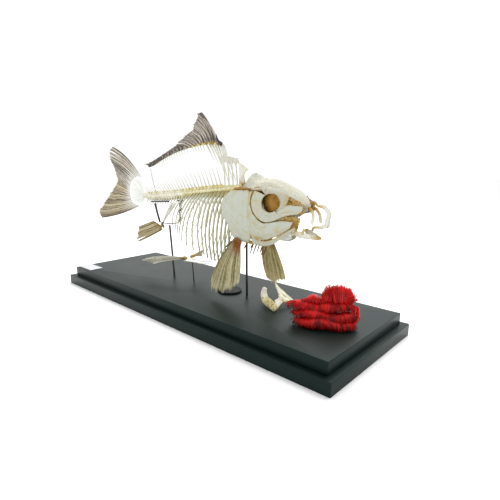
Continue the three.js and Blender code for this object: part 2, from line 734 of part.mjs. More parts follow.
// The two throat bones stand together. One is a blunt crescent; the other a broad plate that
// rises to a spike, with a low arch under it.
const facing = vector(0.6, -0.75, 0.2);
const crescent = bar(
  route([159, -17.4, 41.3], [148.5, -13.4, 41], [135.5, -8, 43], [129, -3, 49.6], [128, 1, 57.4]),
  (t) => [2, lerp(6.4, 3.2, t ** 2)],
  6,
  7,
  facing,
);
node('pharyngeal_R', crescent, COLOUR.bone);
const archEdge = route([166.4, -18.6, 36], [168, -10, 37.6], [170, -2, 38.6], [169.6, 10, 37.8], [168.6, 23.6, 35.6]);
const spikeEdge = route(
  [158, -12.6, 48],
  [157, -3, 48.6],
  [153, 5, 54],
  [142, 8, 66],
  [150.6, 13.2, 56.6],
  [159.4, 18.4, 46.4],
  [167.4, 23.4, 38],
);
const throatPlate = sheet(8, 2, (u, v) => archEdge(u).lerp(spikeEdge(u), v), () => 2.6, vector(0.77, -0.3, 0.56));
node('pharyngeal_L', throatPlate, COLOUR.bone);

// The gill arches lie in a stack: each is a blade that bulges toward the board's near edge. The
// last stands on the others like a fringe, and a loose leaf closes the right end.
const GILLS = { x: 242, y: -6, floor: DECK + GAP };
const along = vector(0.86, 0.51, 0);
const toward = vector(0.51, -0.86, 0);

function gillArch({ from, to, nearFrom, nearTo, bulge, depth, base, height }) {
  const taper = (t) => 0.3 + 0.7 * Math.sqrt(hump(t));
  return loft(
    8,
    7,
    (t) => vector(GILLS.x, GILLS.y, GILLS.floor + base + height * taper(t))
      .addScaledVector(along, lerp(from, to, t))
      .addScaledVector(toward, lerp(nearFrom, nearTo, t) + bulge * hump(t)),
    (t, angle) => vector(0, 0, height * taper(t) * Math.cos(angle))
      .addScaledVector(toward, depth * taper(t) * Math.sin(angle)),
  );
}

[
  { from: -36, to: 26, nearFrom: 9, nearTo: 14, bulge: 5.5, depth: 12, base: 0, height: 4.6 },
  { from: -40, to: 28, nearFrom: 2, nearTo: 8, bulge: 6, depth: 11, base: 9.5, height: 4.4 },
  { from: -48, to: 28, nearFrom: 0, nearTo: 3, bulge: 3, depth: 10, base: 18.6, height: 4.4 },
  { from: -22, to: 32, nearFrom: -1, nearTo: 2, bulge: 0, depth: 7, base: 27.7, height: 11.4 },
].forEach((arch, i) => node(`gill_arch_${i + 1}`, gillArch(arch), COLOUR.gill));
const leaf = route([275.4, 1.2, 39.4], [279.4, 6.8, 48], [277.4, 10.2, 61]);
node('gill_leaf', bar(leaf, (t) => [lerp(3, 1.2, t), lerp(6.4, 3, t)], 6, 4, vector(0.8, 0.5, 0)), COLOUR.gill);

export default model;
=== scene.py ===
"""A mounted common carp skeleton: bones, dried fins, dyed gills and the black display board."""

import math
import bpy
import numpy as np
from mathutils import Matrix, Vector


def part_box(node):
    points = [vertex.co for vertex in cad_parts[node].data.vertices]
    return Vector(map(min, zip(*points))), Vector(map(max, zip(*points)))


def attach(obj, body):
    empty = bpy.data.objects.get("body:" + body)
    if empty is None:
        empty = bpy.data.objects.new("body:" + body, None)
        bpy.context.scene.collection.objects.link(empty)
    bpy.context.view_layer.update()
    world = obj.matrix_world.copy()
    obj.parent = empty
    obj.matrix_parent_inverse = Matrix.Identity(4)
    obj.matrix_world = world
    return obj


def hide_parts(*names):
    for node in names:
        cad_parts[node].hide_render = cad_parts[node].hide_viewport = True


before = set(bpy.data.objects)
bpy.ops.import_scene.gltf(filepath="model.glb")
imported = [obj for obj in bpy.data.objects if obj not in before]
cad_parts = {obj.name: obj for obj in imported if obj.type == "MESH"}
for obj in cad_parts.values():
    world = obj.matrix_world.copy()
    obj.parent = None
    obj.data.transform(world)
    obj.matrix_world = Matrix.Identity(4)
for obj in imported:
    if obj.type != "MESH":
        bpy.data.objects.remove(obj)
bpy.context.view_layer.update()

# ---- Camera and studio ---------------------------------------------------------------------------
# A white table under an even white sky, with one broad soft light high behind the fish and a weaker
# one over the tail. The camera stands to the right of the head and a little above the fish.

EYE = (0.49424, -0.43596, 0.23621)
YAW, PITCH, ROLL = 0.73838, -0.20814, -0.0028
LENS = 28.08

camera = bpy.data.objects.new("camera", bpy.data.cameras.new("camera"))
camera.data.lens = LENS
camera.data.sensor_width = 36
camera.data.clip_start = 0.01
camera.location = EYE
camera.rotation_euler = (math.pi / 2 + PITCH, ROLL, YAW)
bpy.context.collection.objects.link(camera)
bpy.context.scene.camera = camera
bpy.context.scene.view_settings.view_transform = "Standard"

SKY_STRENGTH = 1.06
world = bpy.data.worlds.new("studio")
world.use_nodes = True
world.node_tree.nodes["Background"].inputs["Color"].default_value = (1, 1, 1, 1)
world.node_tree.nodes["Background"].inputs["Strength"].default_value = SKY_STRENGTH
bpy.context.scene.world = world


def softbox(name, place, target, size, power):
    """A square area light at place that faces target."""
    light = bpy.data.lights.new(name, "AREA")
    light.size = size
    light.energy = power
    lamp = bpy.data.objects.new(name, light)
    away = np.array(place) - np.array(target)
    flat = math.hypot(away[0], away[1])
    lamp.location = place
    lamp.rotation_euler = (math.atan2(flat, away[2]), 0, math.atan2(away[1], away[0]) + math.pi / 2)
    bpy.context.collection.objects.link(lamp)


softbox("key_light", (-0.1, 1.0, 1.5), (0, 0, 0.1), 1.8, 27)
softbox("fill_light", (-0.95, 0.6, 1.2), (-0.2, 0, 0.1), 0.8, 8)


def shader(name, colour, roughness):
    """A new material and its node tree, with the plain values on the shader's own sockets."""
    material = bpy.data.materials.new(name)
    material.use_nodes = True
    principled = material.node_tree.nodes["Principled BSDF"]
    principled.inputs["Base Color"].default_value = (*colour, 1)
    principled.inputs["Roughness"].default_value = roughness
    return material, material.node_tree, principled


table_white, _, _ = shader("table_white", (0.96, 0.96, 0.96), 0.9)
FLOOR_REACH = 12.0
floor_mesh = bpy.data.meshes.new("floor")
corners = [(x * FLOOR_REACH, y * FLOOR_REACH, 0) for x, y in ((-1, -1), (1, -1), (1, 1), (-1, 1))]
floor_mesh.from_pydata(corners, [], [(0, 1, 2, 3)])
floor_mesh.materials.append(table_white)
floor = bpy.data.objects.new("floor", floor_mesh)
bpy.context.collection.objects.link(floor)


# ---- Display board -------------------------------------------------------------------------------
# Two sheets of fibreboard, one smaller than the other, sprayed with black satin lacquer. Their edges
# are rubbed down to a small round, and the lacquer has the faint orange peel of a spray gun.

MM = 0.001


def grid_quads(rows, columns, around=False):
    """Corner numbers of the quads of a grid of points, and of its last column to its first if around."""
    row = np.arange(rows - 1)[:, None]
    column = np.arange(columns if around else columns - 1)[None, :]
    after = (column + 1) % columns
    near, far = row * columns, (row + 1) * columns
    return np.stack([near + column, near + after, far + after, far + column], axis=-1).reshape(-1, 4)


def end_fans(rows, columns):
    """Triangles that close both ends of a tube, round two points that come after its last ring: the
    middle of the first ring and the middle of the last."""
    j = np.arange(columns)
    after = (j + 1) % columns
    last = (rows - 1) * columns
    first_fan = np.stack([np.full(columns, rows * columns), after, j], axis=-1)
    last_fan = np.stack([np.full(columns, rows * columns + 1), last + j, last + after], axis=-1)
    return np.concatenate([first_fan, last_fan])


def xyz(x, y, z):
    """Points from three coordinates, which are first spread to one shape."""
    return np.stack(np.broadcast_arrays(x, y, z), axis=-1)


def signed_volume(points, quads, triangles):
    """Sum over the triangles of a . (b x c) / 6, which is negative where faces point inward."""
    corners = np.concatenate([triangles, quads[:, [0, 1, 2]], quads[:, [0, 2, 3]]])
    a, b, c = (points[corners[:, i]] for i in range(3))
    return np.einsum("ij,ij->", a, np.cross(b, c)) / 6


NO_TRIANGLES = np.zeros((0, 3), int)


def make_piece(name, material, replaced, shapes):
    """One mesh from shapes, each (points in mm, quads, triangles, stain), that stands for CAD nodes.
    A stain of two rows is the stain and the tint."""
    points, quads, triangles, stains, count = [], [], [], [], 0
    for shape_points, shape_quads, shape_triangles, stain in shapes:
        if signed_volume(shape_points, shape_quads, shape_triangles) < 0:
            shape_quads, shape_triangles = shape_quads[:, ::-1], shape_triangles[:, ::-1]
        points.append(shape_points)
        quads.append(shape_quads + count)
        triangles.append(shape_triangles + count)
        stain = np.asarray(stain, float)
        if stain.ndim < 2:
            no_tint = np.zeros(len(shape_points))
            stain = np.stack([stain + no_tint, no_tint])
        stains.append(stain)
        count += len(shape_points)
    quads, triangles = np.concatenate(quads), np.concatenate(triangles)
    mesh = bpy.data.meshes.new(name)
    mesh.vertices.add(count)
    mesh.vertices.foreach_set("co", (np.concatenate(points) * MM).astype(np.float32).ravel())
    loops = np.concatenate([quads.ravel(), triangles.ravel()])
    mesh.loops.add(len(loops))
    mesh.loops.foreach_set("vertex_index", loops.astype(np.int32))
    starts = np.concatenate([np.arange(len(quads)) * 4, quads.size + np.arange(len(triangles)) * 3])
    mesh.polygons.add(len(starts))
    mesh.polygons.foreach_set("loop_start", starts.astype(np.int32))
    mesh.polygons.foreach_set("use_smooth", np.ones(len(starts), bool))
    for key, values in zip(("stain", "tint"), np.concatenate(stains, axis=1).astype(np.float32)):
        mesh.attributes.new(key, "FLOAT", "POINT").data.foreach_set("value", np.ascontiguousarray(values))
    mesh.update(calc_edges=True)
    mesh.materials.append(material)
    piece = bpy.data.objects.new(name, mesh)
    bpy.context.collection.objects.link(piece)
    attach(piece, "root")
    if replaced:
        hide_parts(*replaced)
    return piece


def slab(low, high, corner, bevel, steps=5):
    """A board: a rounded rectangle of corner radius corner, carried up a profile with quarter-round
    edges of radius bevel, and closed with a fan to the middle of each face."""
    turn = np.linspace(0, 2 * math.pi, 4 * steps, endpoint=False) + math.pi / (4 * steps)
    quadrant = np.floor(turn / (math.pi / 2))
    centre_x = np.where((quadrant == 0) | (quadrant == 3), high[0] - corner, low[0] + corner)
    centre_y = np.where(quadrant < 2, high[1] - corner, low[1] + corner)
    rise = np.linspace(0, math.pi / 2, steps)
    inset = np.concatenate([bevel * (1 - np.sin(rise)), bevel * (1 - np.cos(rise))])
    height = np.concatenate([low[2] + bevel * (1 - np.cos(rise)), high[2] - bevel * (1 - np.sin(rise))])
    reach = corner - inset[:, None]
    outline = xyz(centre_x + reach * np.cos(turn), centre_y + reach * np.sin(turn), height[:, None])
    rows, columns = outline.shape[:2]
    middle = [[(low[0] + high[0]) / 2, (low[1] + high[1]) / 2, z] for z in (low[2], high[2])]
    points = np.concatenate([outline.reshape(-1, 3), middle])
    return points, grid_quads(rows, columns, True), end_fans(rows, columns), 0.0


def shaded(tree, kind, **values):
    """A node of that kind, with its sockets or properties set by name."""
    node = tree.nodes.new(kind)
    for key, value in values.items():
        if key in node.inputs:
            node.inputs[key].default_value = value
        else:
            setattr(node, key, value)
    return node


def cloudiness(tree, scale, detail=4.0, stretch=(1, 1, 1)):
    """Noise on the object's own coordinates, in metres, so that scale is patches to the metre."""
    place = tree.nodes.new("ShaderNodeTexCoord")
    mapping = shaded(tree, "ShaderNodeMapping", Scale=stretch)
    noise = shaded(tree, "ShaderNodeTexNoise", Scale=scale, Detail=detail)
    tree.links.new(place.outputs["Object"], mapping.inputs["Vector"])
    tree.links.new(mapping.outputs["Vector"], noise.inputs["Vector"])
    return noise.outputs["Fac"]


def ranged(tree, value, low, high, to_low, to_high):
    """value taken from the range low..high to the range to_low..to_high."""
    node = shaded(tree, "ShaderNodeMapRange")
    tree.links.new(value, node.inputs["Value"])
    for key, number in (("From Min", low), ("From Max", high), ("To Min", to_low), ("To Max", to_high)):
        node.inputs[key].default_value = number
    return node.outputs["Result"]


def raised(tree, principled, height, distance):
    """Bump on the shader, with a height of 1 standing distance metres out."""
    bump = shaded(tree, "ShaderNodeBump", Distance=distance, Strength=1.0)
    tree.links.new(height, bump.inputs["Height"])
    tree.links.new(bump.outputs["Normal"], principled.inputs["Normal"])


lacquer, tree, principled = shader("black_satin_lacquer", (0.0032, 0.0085, 0.0072), 0.26)
principled.inputs["Specular Tint"].default_value = (0.66, 0.96, 0.9, 1)
principled.inputs["IOR"].default_value = 1.27
raised(tree, principled, cloudiness(tree, 420, 3), 0.00004)
tree.links.new(ranged(tree, cloudiness(tree, 9, 5), 0.3, 0.7, 0.37, 0.44), principled.inputs["Roughness"])

for board in ("base_lower_board", "base_upper_board"):
    low, high = (np.array(corner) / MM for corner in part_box(board))
    make_piece(board + "_lacquered", lacquer, [board], [slab(low, high, 1.6, 0.9)])

# ---- Label plate ---------------------------------------------------------------------------------
# A small blank aluminium plate with a folded rim, glued to the back left corner of the upper board.

aluminium, tree, principled = shader("satin_aluminium", (0.62, 0.65, 0.67), 0.34)
principled.inputs["Metallic"].default_value = 0.6
raised(tree, principled, cloudiness(tree, 900, 2, (0.05, 1, 1)), 0.00002)

low, high = (np.array(corner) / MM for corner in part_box("label_plate"))
RIM = 1.6
plate_shapes = [slab(low + [RIM, RIM, 0], high - [RIM, RIM, 0.35], 0.8, 0.15)]
for side_low, side_high in (
    (low, [high[0], low[1] + RIM, high[2]]),
    ([low[0], high[1] - RIM, low[2]], high),
    ([low[0], low[1] + RIM, low[2]], [low[0] + RIM, high[1] - RIM, high[2]]),
    ([high[0] - RIM, low[1] + RIM, low[2]], [high[0], high[1] - RIM, high[2]]),
):
    plate_shapes.append(slab(np.array(side_low), np.array(side_high), 0.5, 0.2))
make_piece("label_plate_blank", aluminium, ["label_plate"], plate_shapes)

# ---- Rubber rest ---------------------------------------------------------------------------------
# A moulded rubber cup under the fin's tip. It is turned: a profile carried round an upright axis.

rubber, tree, principled = shader("black_rubber", (0.012, 0.013, 0.011), 0.7)
principled.inputs["IOR"].default_value = 1.3
raised(tree, principled, cloudiness(tree, 1500, 3), 0.00006)


def turned(centre, profile, sides=72, axis=2, stain=0.0):
    """A profile of (radius, height) carried round a line through centre, along the axis of that
    number."""
    turn = np.linspace(0, 2 * math.pi, sides, endpoint=False)
    radius, height = np.array(profile).T
    out, up = radius[:, None], centre[2] + height
    ring = xyz(centre[0] + out * np.cos(turn), centre[1] + out * np.sin(turn), up[:, None])
    points = np.concatenate([ring.reshape(-1, 3), [[*centre[:2], z] for z in up[[0, -1]]]])
    order = [(axis + 1) % 3, (axis + 2) % 3, axis]
    points = np.array(centre, float) + (points - centre)[:, np.argsort(order)]
    return points, grid_quads(len(profile), sides, True), end_fans(len(profile), sides), stain


low, high = (np.array(corner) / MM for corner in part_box("rest_disc"))
disc_centre = [*((low + high) / 2)[:2], low[2]]
cup = [
    (18.2, 0.05), (19.2, 0.3), (19.8, 1.0), (19.9, 2.0), (19.6, 3.0), (19.0, 3.5), (18.2, 3.6), (17.4, 3.4),
    (16.6, 2.9), (15.2, 2.6), (8.0, 2.5), (7.2, 2.75), (6.0, 2.8), (2.0, 2.8), (1.0, 2.4),
]
make_piece("rest_disc_moulded", rubber, ["rest_disc"], [turned(disc_centre, cup)])

# ---- Rods and cradle -----------------------------------------------------------------------------
# Black enamelled steel wire. Each rod is pushed into a hole in the board. The cradle that carries the
# tail is bent from thinner wire, and one length is doubled and wound on itself.

enamel, tree, principled = shader("black_enamel", (0.011, 0.011, 0.011), 0.3)
raised(tree, principled, cloudiness(tree, 700, 3), 0.00003)


def spline(points, t):
    """Points of a Catmull-Rom curve through the given ones, for t from 0 at the first to 1 at the last."""
    points = np.asarray(points, float)
    count = len(points) - 1
    t = np.asarray(t, float) * count
    i = np.clip(np.floor(t).astype(int), 0, count - 1)
    f = (t - i)[..., None]
    before, after = 2 * points[0] - points[1], 2 * points[-1] - points[-2]
    padded = np.concatenate([[before], points, [after]])
    a, b, c, d = (padded[i + k] for k in range(4))
    return 0.5 * (2 * b + (c - a) * f + (2 * a - 5 * b + 4 * c - d) * f**2 + (3 * b - a - 3 * c + d) * f**3)


def unit(v):
    """v divided by its length, where it has one."""
    return v / np.maximum(np.linalg.norm(v, axis=-1, keepdims=True), 1e-9)


def tubes(paths, width, depth, across=(0, 1, 0), sides=8, stain=0.0):
    """Closed tubes, all at once. paths has an array of points for each tube. A section is an ellipse,
    width to each side along across, made square to the path, and depth to each side square to both.
    Each end is closed with a fan to its own middle."""
    paths = np.asarray(paths, float)
    if paths.ndim == 2:
        paths = paths[None]
    count, steps = paths.shape[:2]
    ahead = unit(np.gradient(paths, axis=1))
    across = np.broadcast_to(np.asarray(across, float), paths.shape)
    side = unit(across - np.einsum("ijk,ijk->ij", across, ahead)[..., None] * ahead)
    square = np.cross(ahead, side)
    turn = np.linspace(0, 2 * math.pi, sides, endpoint=False)[None, None, :, None]
    width = np.broadcast_to(width, (count, steps))[:, :, None, None]
    depth = np.broadcast_to(depth, (count, steps))[:, :, None, None]
    ring = paths[:, :, None] + width * np.cos(turn) * side[:, :, None]
    ring = ring + depth * np.sin(turn) * square[:, :, None]
    points = np.concatenate([ring.reshape(count, -1, 3), paths[:, :1], paths[:, -1:]], axis=1)
    ends = end_fans(steps, sides)
    shift = (np.arange(count) * points.shape[1])[:, None, None]
    quads = (grid_quads(steps, sides, True)[None] + shift).reshape(-1, 4)
    stain = np.asarray(stain, float)
    if stain.ndim < 3:
        stain = np.stack([np.broadcast_to(stain, (count, steps)), np.zeros((count, steps))])
    stain = np.concatenate([np.repeat(stain, sides, axis=2), stain[..., :1], stain[..., -1:]], axis=2)
    return points.reshape(-1, 3), quads, (ends[None] + shift).reshape(-1, 3), stain.reshape(2, -1)


def wire(points, radius, steps=24, sides=14):
    """A bent wire with rounded ends: the radius falls off as a quarter circle over its last length."""
    t = 0.5 - 0.5 * np.cos(np.linspace(0, math.pi, steps))
    path = spline(points, t)
    along = np.concatenate([[0], np.cumsum(np.linalg.norm(np.diff(path, axis=0), axis=1))])
    end = np.minimum(along, along[-1] - along) / radius
    fat = radius * np.sqrt(np.clip(1 - (1 - np.clip(end, 0, 1)) ** 2, 0.02, 1))
    return tubes(path, fat, fat, (0.3, 1, 0.1), sides)


DECK = 34.0
make_piece("rod_front_wire", enamel, ["rod_front"], [
    wire([[91.6, 0, DECK + 0.1], [91, 0, 115], [92.4, 0, 193]], 1.8),
    turned([91.6, 0, DECK + 0.02], [(3.0, 0.0), (3.0, 0.3), (2.4, 0.9), (1.7, 1.2)], 32),
])
make_piece("rod_rear_wire", enamel, ["rod_rear"], [
    wire([[-92, -3.7, DECK + 0.1], [-97.5, -3, 83], [-103, -2.4, 131.4]], 1.9),
    turned([-92, -3.7, DECK + 0.02], [(2.8, 0.0), (2.8, 0.3), (2.3, 0.8), (1.7, 1.1)], 32),
])
for name, points, radius, steps in (
    ("rod_pelvic", [[-33, -5, DECK + 0.1], [-34.5, -5, 52], [-36, -5, 70.6]], 1.1, 24),
    ("cradle_saddle", [[-156, -5.4, 171.6], [-126, -5.4, 173.6], [-97, -5.4, 175.6]], 1.5, 24),
    ("cradle_strut", [[-143, -5, 169.8], [-138, -4.2, 151], [-132, -3, 132.6]], 2.0, 24),
    ("cradle_crosswire", [[-130.4, -2.4, 132.8], [-116, -2.4, 133], [-100, -2.4, 134], [-84, -3.4, 136],
                          [-72, -4.6, 139.4]], 1.0, 40),
):
    make_piece(name + "_wire", enamel, [name], [wire(points, radius, steps)])

t = np.linspace(0, 1, 130)
wind = 2 * math.pi * 3.5 * t
twisted = []
for start in (0, math.pi):
    core = spline([[-69.5, -4.6, 139.4], [-67, -4.6, 160], [-64.5, -4.6, 178.4]], t)
    offset = np.stack([1.7 * np.cos(wind + start), 1.7 * np.sin(wind + start), 0 * t], axis=-1)
    twisted.append(tubes(core + offset, 1.15, 1.15, (0.3, 0.2, 1), 10))
twisted.append(wire([[-74, -4.6, 177.8], [-64, -4.6, 178.6], [-54, -4.6, 179.6]], 1.4))
make_piece("cradle_twist_wire", enamel, ["cradle_twist"], twisted)
make_piece("dorsal_wire_thin", enamel, ["dorsal_wire"], [
    wire([[-166, 3.4, 234], [-161, 4.4, 213], [-154, 5.4, 190]], 0.35, 12, 8),
])

# ---- Vertebral column ----------------------------------------------------------------------------
# Hourglass vertebrae, glued end to end, with a neural arch and a spine on each. The bone is cream and
# greasy, and the joints and the hollows hold brown fat.


def added(tree, first, second, clamp=False):
    """The sum of two values, held between 0 and 1 if clamp."""
    node = shaded(tree, "ShaderNodeMath", operation="ADD", use_clamp=clamp)
    tree.links.new(first, node.inputs[0])
    tree.links.new(second, node.inputs[1])
    return node.outputs[0]


def ramped(tree, value, stops):
    """The colour at value on a ramp through stops, each a position and a colour."""
    ramp = shaded(tree, "ShaderNodeValToRGB")
    elements = ramp.color_ramp.elements
    for element, (position, colour) in zip(elements, (stops[0], stops[-1])):
        element.position = position
        element.color = (*colour, 1)
    for position, colour in stops[1:-1]:
        elements.new(position).color = (*colour, 1)
    tree.links.new(value, ramp.inputs["Fac"])
    return ramp.outputs["Color"]


def dry_bone(name, tones, grain=1300, relief=0.00016, roughness=0.55):
    """Bone whose colour goes through four tones as the stain on the surface rises from 0 to 1. Clouds
    of stain and fine pores break it up, and the pores are raised and sunk as bump."""
    material, tree, principled = shader(name, tones[0], roughness)
    stain = shaded(tree, "ShaderNodeAttribute", attribute_name="stain")
    clouds = ranged(tree, cloudiness(tree, 95, 6), 0.3, 0.75, -0.1, 0.13)
    pores = ranged(tree, cloudiness(tree, 700, 4), 0.5, 0.8, 0.0, 0.16)
    total = added(tree, added(tree, stain.outputs["Fac"], clouds), pores)
    colour = ramped(tree, total, list(zip((0.02, 0.3, 0.62, 1.0), tones)))
    tree.links.new(colour, principled.inputs["Base Color"])
    principled.inputs["IOR"].default_value = 1.36
    raised(tree, principled, cloudiness(tree, grain, 5), relief)
    return material


cream_bone = dry_bone(
    "cream_bone",
    [(0.84, 0.83, 0.62), (0.64, 0.56, 0.26), (0.3, 0.2, 0.045), (0.08, 0.045, 0.012)],
)

TAIL_END, RIB_END, FREE_START = -185.0, -59.5, 84.0
TAIL_HEIGHT, COLUMN_RISE = 182.0, 23.0
RIB_PAIRS, TAIL_VERTEBRAE = 16, 16
CENTRUM = 4.5


def smooth(x, low, high):
    """0 below low, 1 above high, and 3t^2 - 2t^3 between them."""
    t = np.clip((np.asarray(x, float) - low) / (high - low), 0, 1)
    return t * t * (3 - 2 * t)


def lerp(a, b, t):
    """a at t = 0 and b at t = 1, in a straight line."""
    return a + (b - a) * t


def column_height(x):
    """Height of the centre line, which rises in one smooth sweep from the tail to the skull."""
    return TAIL_HEIGHT + COLUMN_RISE * smooth(x, TAIL_END, TAIL_END + 290)


def column_size(x):
    """Share of the full size that a vertebra has: the tail's are smaller."""
    return lerp(0.72, 1.0, smooth(x, TAIL_END, -80))


def centra(start, end, count, steps=14, sides=36):
    """A row of vertebrae as one surface. Along each, the radius swells to a rim at both ends, as
    1 - 0.3 (1 - |s|^2.4) for s from -1 to 1, and drops into a groove at the joint. Round it, ridges
    run lengthwise, and the hollows between them hold the stain."""
    t = np.linspace(0, 1, count * steps + 1)
    x = lerp(start, end, t)
    s = 2 * ((t * count) % 1) - 1
    rim = 1 - 0.3 * (1 - np.abs(s) ** 2.4)
    groove = np.exp(-((1 - np.abs(s)) / 0.07) ** 2)
    turn = np.linspace(0, 2 * math.pi, sides, endpoint=False)
    ridges = 0.08 * np.cos(6 * turn)[None] * (1 - np.abs(s) ** 3)[:, None]
    radius = CENTRUM * column_size(x)[:, None] * (rim - 0.13 * groove)[:, None] * (1 + ridges)
    points = xyz(x[:, None], radius * np.sin(turn), column_height(x)[:, None] + radius * np.cos(turn))
    below = np.clip(-np.cos(turn), 0, 1)[None]
    flecks = smooth(x, -66, -50) * (1 - smooth(x, -14, 2)) * (0.5 + 0.5 * np.sin(1.7 * x))
    # The term -0.08 cos(turn) is painted shade: it makes the top of each vertebra paler and its underside
    # darker.
    stain = 0.07 + 0.45 * groove[:, None] - 2 * ridges - 0.08 * np.cos(turn)
    stain = stain + 0.6 * below * flecks[:, None] + (0.06 + 0.24 * below) * smooth(x, 10, 50)[:, None]
    rows = len(t)
    ends = [[x[0], 0, column_height(x[0])], [x[-1], 0, column_height(x[-1])]]
    return (
        np.concatenate([points.reshape(-1, 3), ends]),
        grid_quads(rows, sides, True),
        end_fans(rows, sides),
        np.append(stain.ravel(), [0.4, 0.4]),
    )


def neural_length(x):
    """Length of a neural spine, longer toward the middle of the back."""
    return 13 + 19 * smooth(x, -175, 10)


def haemal_length(x):
    """Length of a haemal spine under the tail."""
    return 12 + 11 * smooth(x, -185, -90)


def spine_lean(x):
    """How far a spine leans back for each unit of its length."""
    return lerp(0.75, 0.3, smooth(x, -150, 60))


def arched_spines(x, direction, length, seed):
    """For each vertebra two broad legs that rise from the centrum and meet, as the first list, and
    from there one spine that leans back, tapers and wavers a little, as the second."""
    random = np.random.default_rng(seed)
    x = np.asarray(x, float)
    size = column_size(x)
    centre = column_height(x)
    lean = spine_lean(x) * (1 + 0.05 * random.standard_normal(len(x)))
    joint_x = x - 1.2
    joint_z = centre + direction * (CENTRUM * size + 4.4)
    shapes = []
    for side in (-1, 1):
        t = np.linspace(0, 1, 6)[None]
        legs = xyz(
            lerp((x + 1.8)[:, None], joint_x[:, None], t),
            side * (2.5 * size[:, None] * (1 - t**1.5) + 0.25),
            lerp((centre + direction * 3.0 * size)[:, None], joint_z[:, None], t),
        )
        walls = 0.14 + 0.34 * np.sin(math.pi * t) * random.random((len(x), 1))
        shapes.append(tubes(legs, lerp(1.2, 0.7, t), lerp(3.9, 2.0, t), (0, 1, 0), 8, walls))
    t = np.linspace(0, 1, 14)[None]
    reach = (length + 2.5 - (CENTRUM * size + 4.4))[:, None] + 1.3
    waver = 0.4 * random.standard_normal((len(x), 1)) * np.sin(math.pi * t)
    paths = xyz(
        joint_x[:, None] - (lean * length)[:, None] * lerp(0.75, 1, t) * t + 1.2 * (1 - t),
        0.5 * waver,
        joint_z[:, None] + direction * (reach * t - 1.0),
    )
    spine_depth = lerp(1.7, 0.34, t**0.5)
    return shapes, [tubes(paths, lerp(0.8, 0.3, t**0.7), spine_depth, (0, 1, 0), 8, 0.16 - 0.14 * t)]


def prongs(x, seed):
    """Short pointed prongs fore and aft on the shoulders of each centrum, above and below."""
    random = np.random.default_rng(seed)
    size, centre = column_size(x), column_height(x)
    t = np.linspace(0, 1, 5)[None]
    shapes = []
    for fore in (-1, 1):
        for side in (-1, 1):
            for up in (-1, 1):
                length = (3.8 + 0.8 * random.standard_normal(len(x)))[:, None] * size[:, None]
                paths = xyz(
                    x[:, None] + fore * (1.4 + length * t * 0.9),
                    side * (2.2 * size[:, None] + 0.5 * t),
                    (centre + up * 2.8 * size)[:, None] + up * (0.8 + 3.0 * t),
                )
                stain = np.where((x > -80) & (x < 12), 0.5 - 0.2 * up, 0.2)[:, None] + 0 * t
                shapes.append(tubes(paths, 0.8 * (1 - 0.7 * t), 1.6 * (1 - 0.6 * t), (0, 1, 0), 6, stain))
    return shapes


def side_processes(x, seed):
    """Stout pegs low on both sides of each centrum of the trunk, which carry the ribs. They lean back,
    and are larger toward both ends of the row."""
    random = np.random.default_rng(seed)
    t = np.linspace(0, 1, 7)[None]
    grown = (lerp(0.8, 1.45, smooth(x, -10, 60)) + 1.1 * (1 - smooth(x, -62, -14)))[:, None]
    shapes = []
    for side in (-1, 1):
        paths = xyz(
            x[:, None] + 1.5 - (3.4 + 0.7 * random.standard_normal((len(x), 1))) * t * grown,
            side * (2.6 + 1.4 * t * grown),
            column_height(x)[:, None] - 1.5 - 4.2 * t * grown,
        )
        stain = 0.14 + 0.6 * random.random((len(x), 1)) * np.sin(math.pi * t)
        width, depth = 1.2 * grown * (1 - 0.5 * t), 2.5 * grown * (1 - 0.5 * t)
        shapes.append(tubes(paths, width, depth, (0, 1, 0), 10, stain))
    return shapes


trunk_pitch = (FREE_START - RIB_END) / RIB_PAIRS
trunk_x = FREE_START - (np.arange(RIB_PAIRS) + 0.5) * trunk_pitch
tail_pitch = (RIB_END - TAIL_END) / TAIL_VERTEBRAE
tail_x = RIB_END - (np.arange(TAIL_VERTEBRAE) + 0.5) * tail_pitch

# The second to the fifth vertebra behind the skull carry supraneural bones: thin blades whose heads
# spread until they meet.
SUPRANEURALS = slice(1, 5)
raised_x = trunk_x[SUPRANEURALS]
t = np.linspace(0, 1, 22)[None]
crown = lerp(252.6, 249.4, smooth(raised_x, 42, 74))[:, None]
foot = column_height(raised_x)[:, None] + 3.4
supraneural_paths = xyz(
    raised_x[:, None] + lerp(0.5, -4, t) + 1.2 * np.sin(math.pi * t),
    0,
    lerp(foot, crown, t),
)
supraneural_depth = 0.8 + 0.6 * t + 5.2 * np.clip((t - 0.76) / 0.24, 0, 1) ** 0.9
supraneural_stain = 0.04 + 0.12 * (1 - t)
supraneurals = tubes(
    supraneural_paths, lerp(1.0, 0.7, t), supraneural_depth, (0, 1, 0), 10, supraneural_stain,
)

spined_x = np.concatenate([trunk_x[:1], trunk_x[5:]])
spined_length = np.concatenate([[8.0], neural_length(trunk_x[5:])])
arches, spines = arched_spines(spined_x, 1, spined_length, 3)
make_piece("column_trunk", cream_bone, ["spine_trunk"], [
    centra(RIB_END, FREE_START + 2, RIB_PAIRS),
    *arches,
    *prongs(trunk_x, 4),
    *side_processes(trunk_x, 8),
])
spine_bone = dry_bone(
    "spine_bone",
    [(0.66, 0.66, 0.58), (0.48, 0.46, 0.34), (0.27, 0.2, 0.09), (0.11, 0.06, 0.015)],
)
make_piece("column_spines", spine_bone, [], [*spines, supraneurals])
tail_bone = dry_bone(
    "tail_bone",
    [(0.93, 0.93, 0.84), (0.68, 0.64, 0.44), (0.29, 0.19, 0.05), (0.11, 0.06, 0.015)],
)
upper_arches, upper_spines = arched_spines(tail_x[:-1], 1, neural_length(tail_x[:-1]), 5)
lower_arches, lower_spines = arched_spines(tail_x[:-1], -1, haemal_length(tail_x[:-1]), 6)
make_piece("column_tail", tail_bone, ["spine_tail"], [
    centra(TAIL_END, RIB_END, TAIL_VERTEBRAE),
    *upper_arches,
    *lower_arches,
    *prongs(tail_x, 7),
])
make_piece("tail_spines", spine_bone, [], [*upper_spines, *lower_spines])

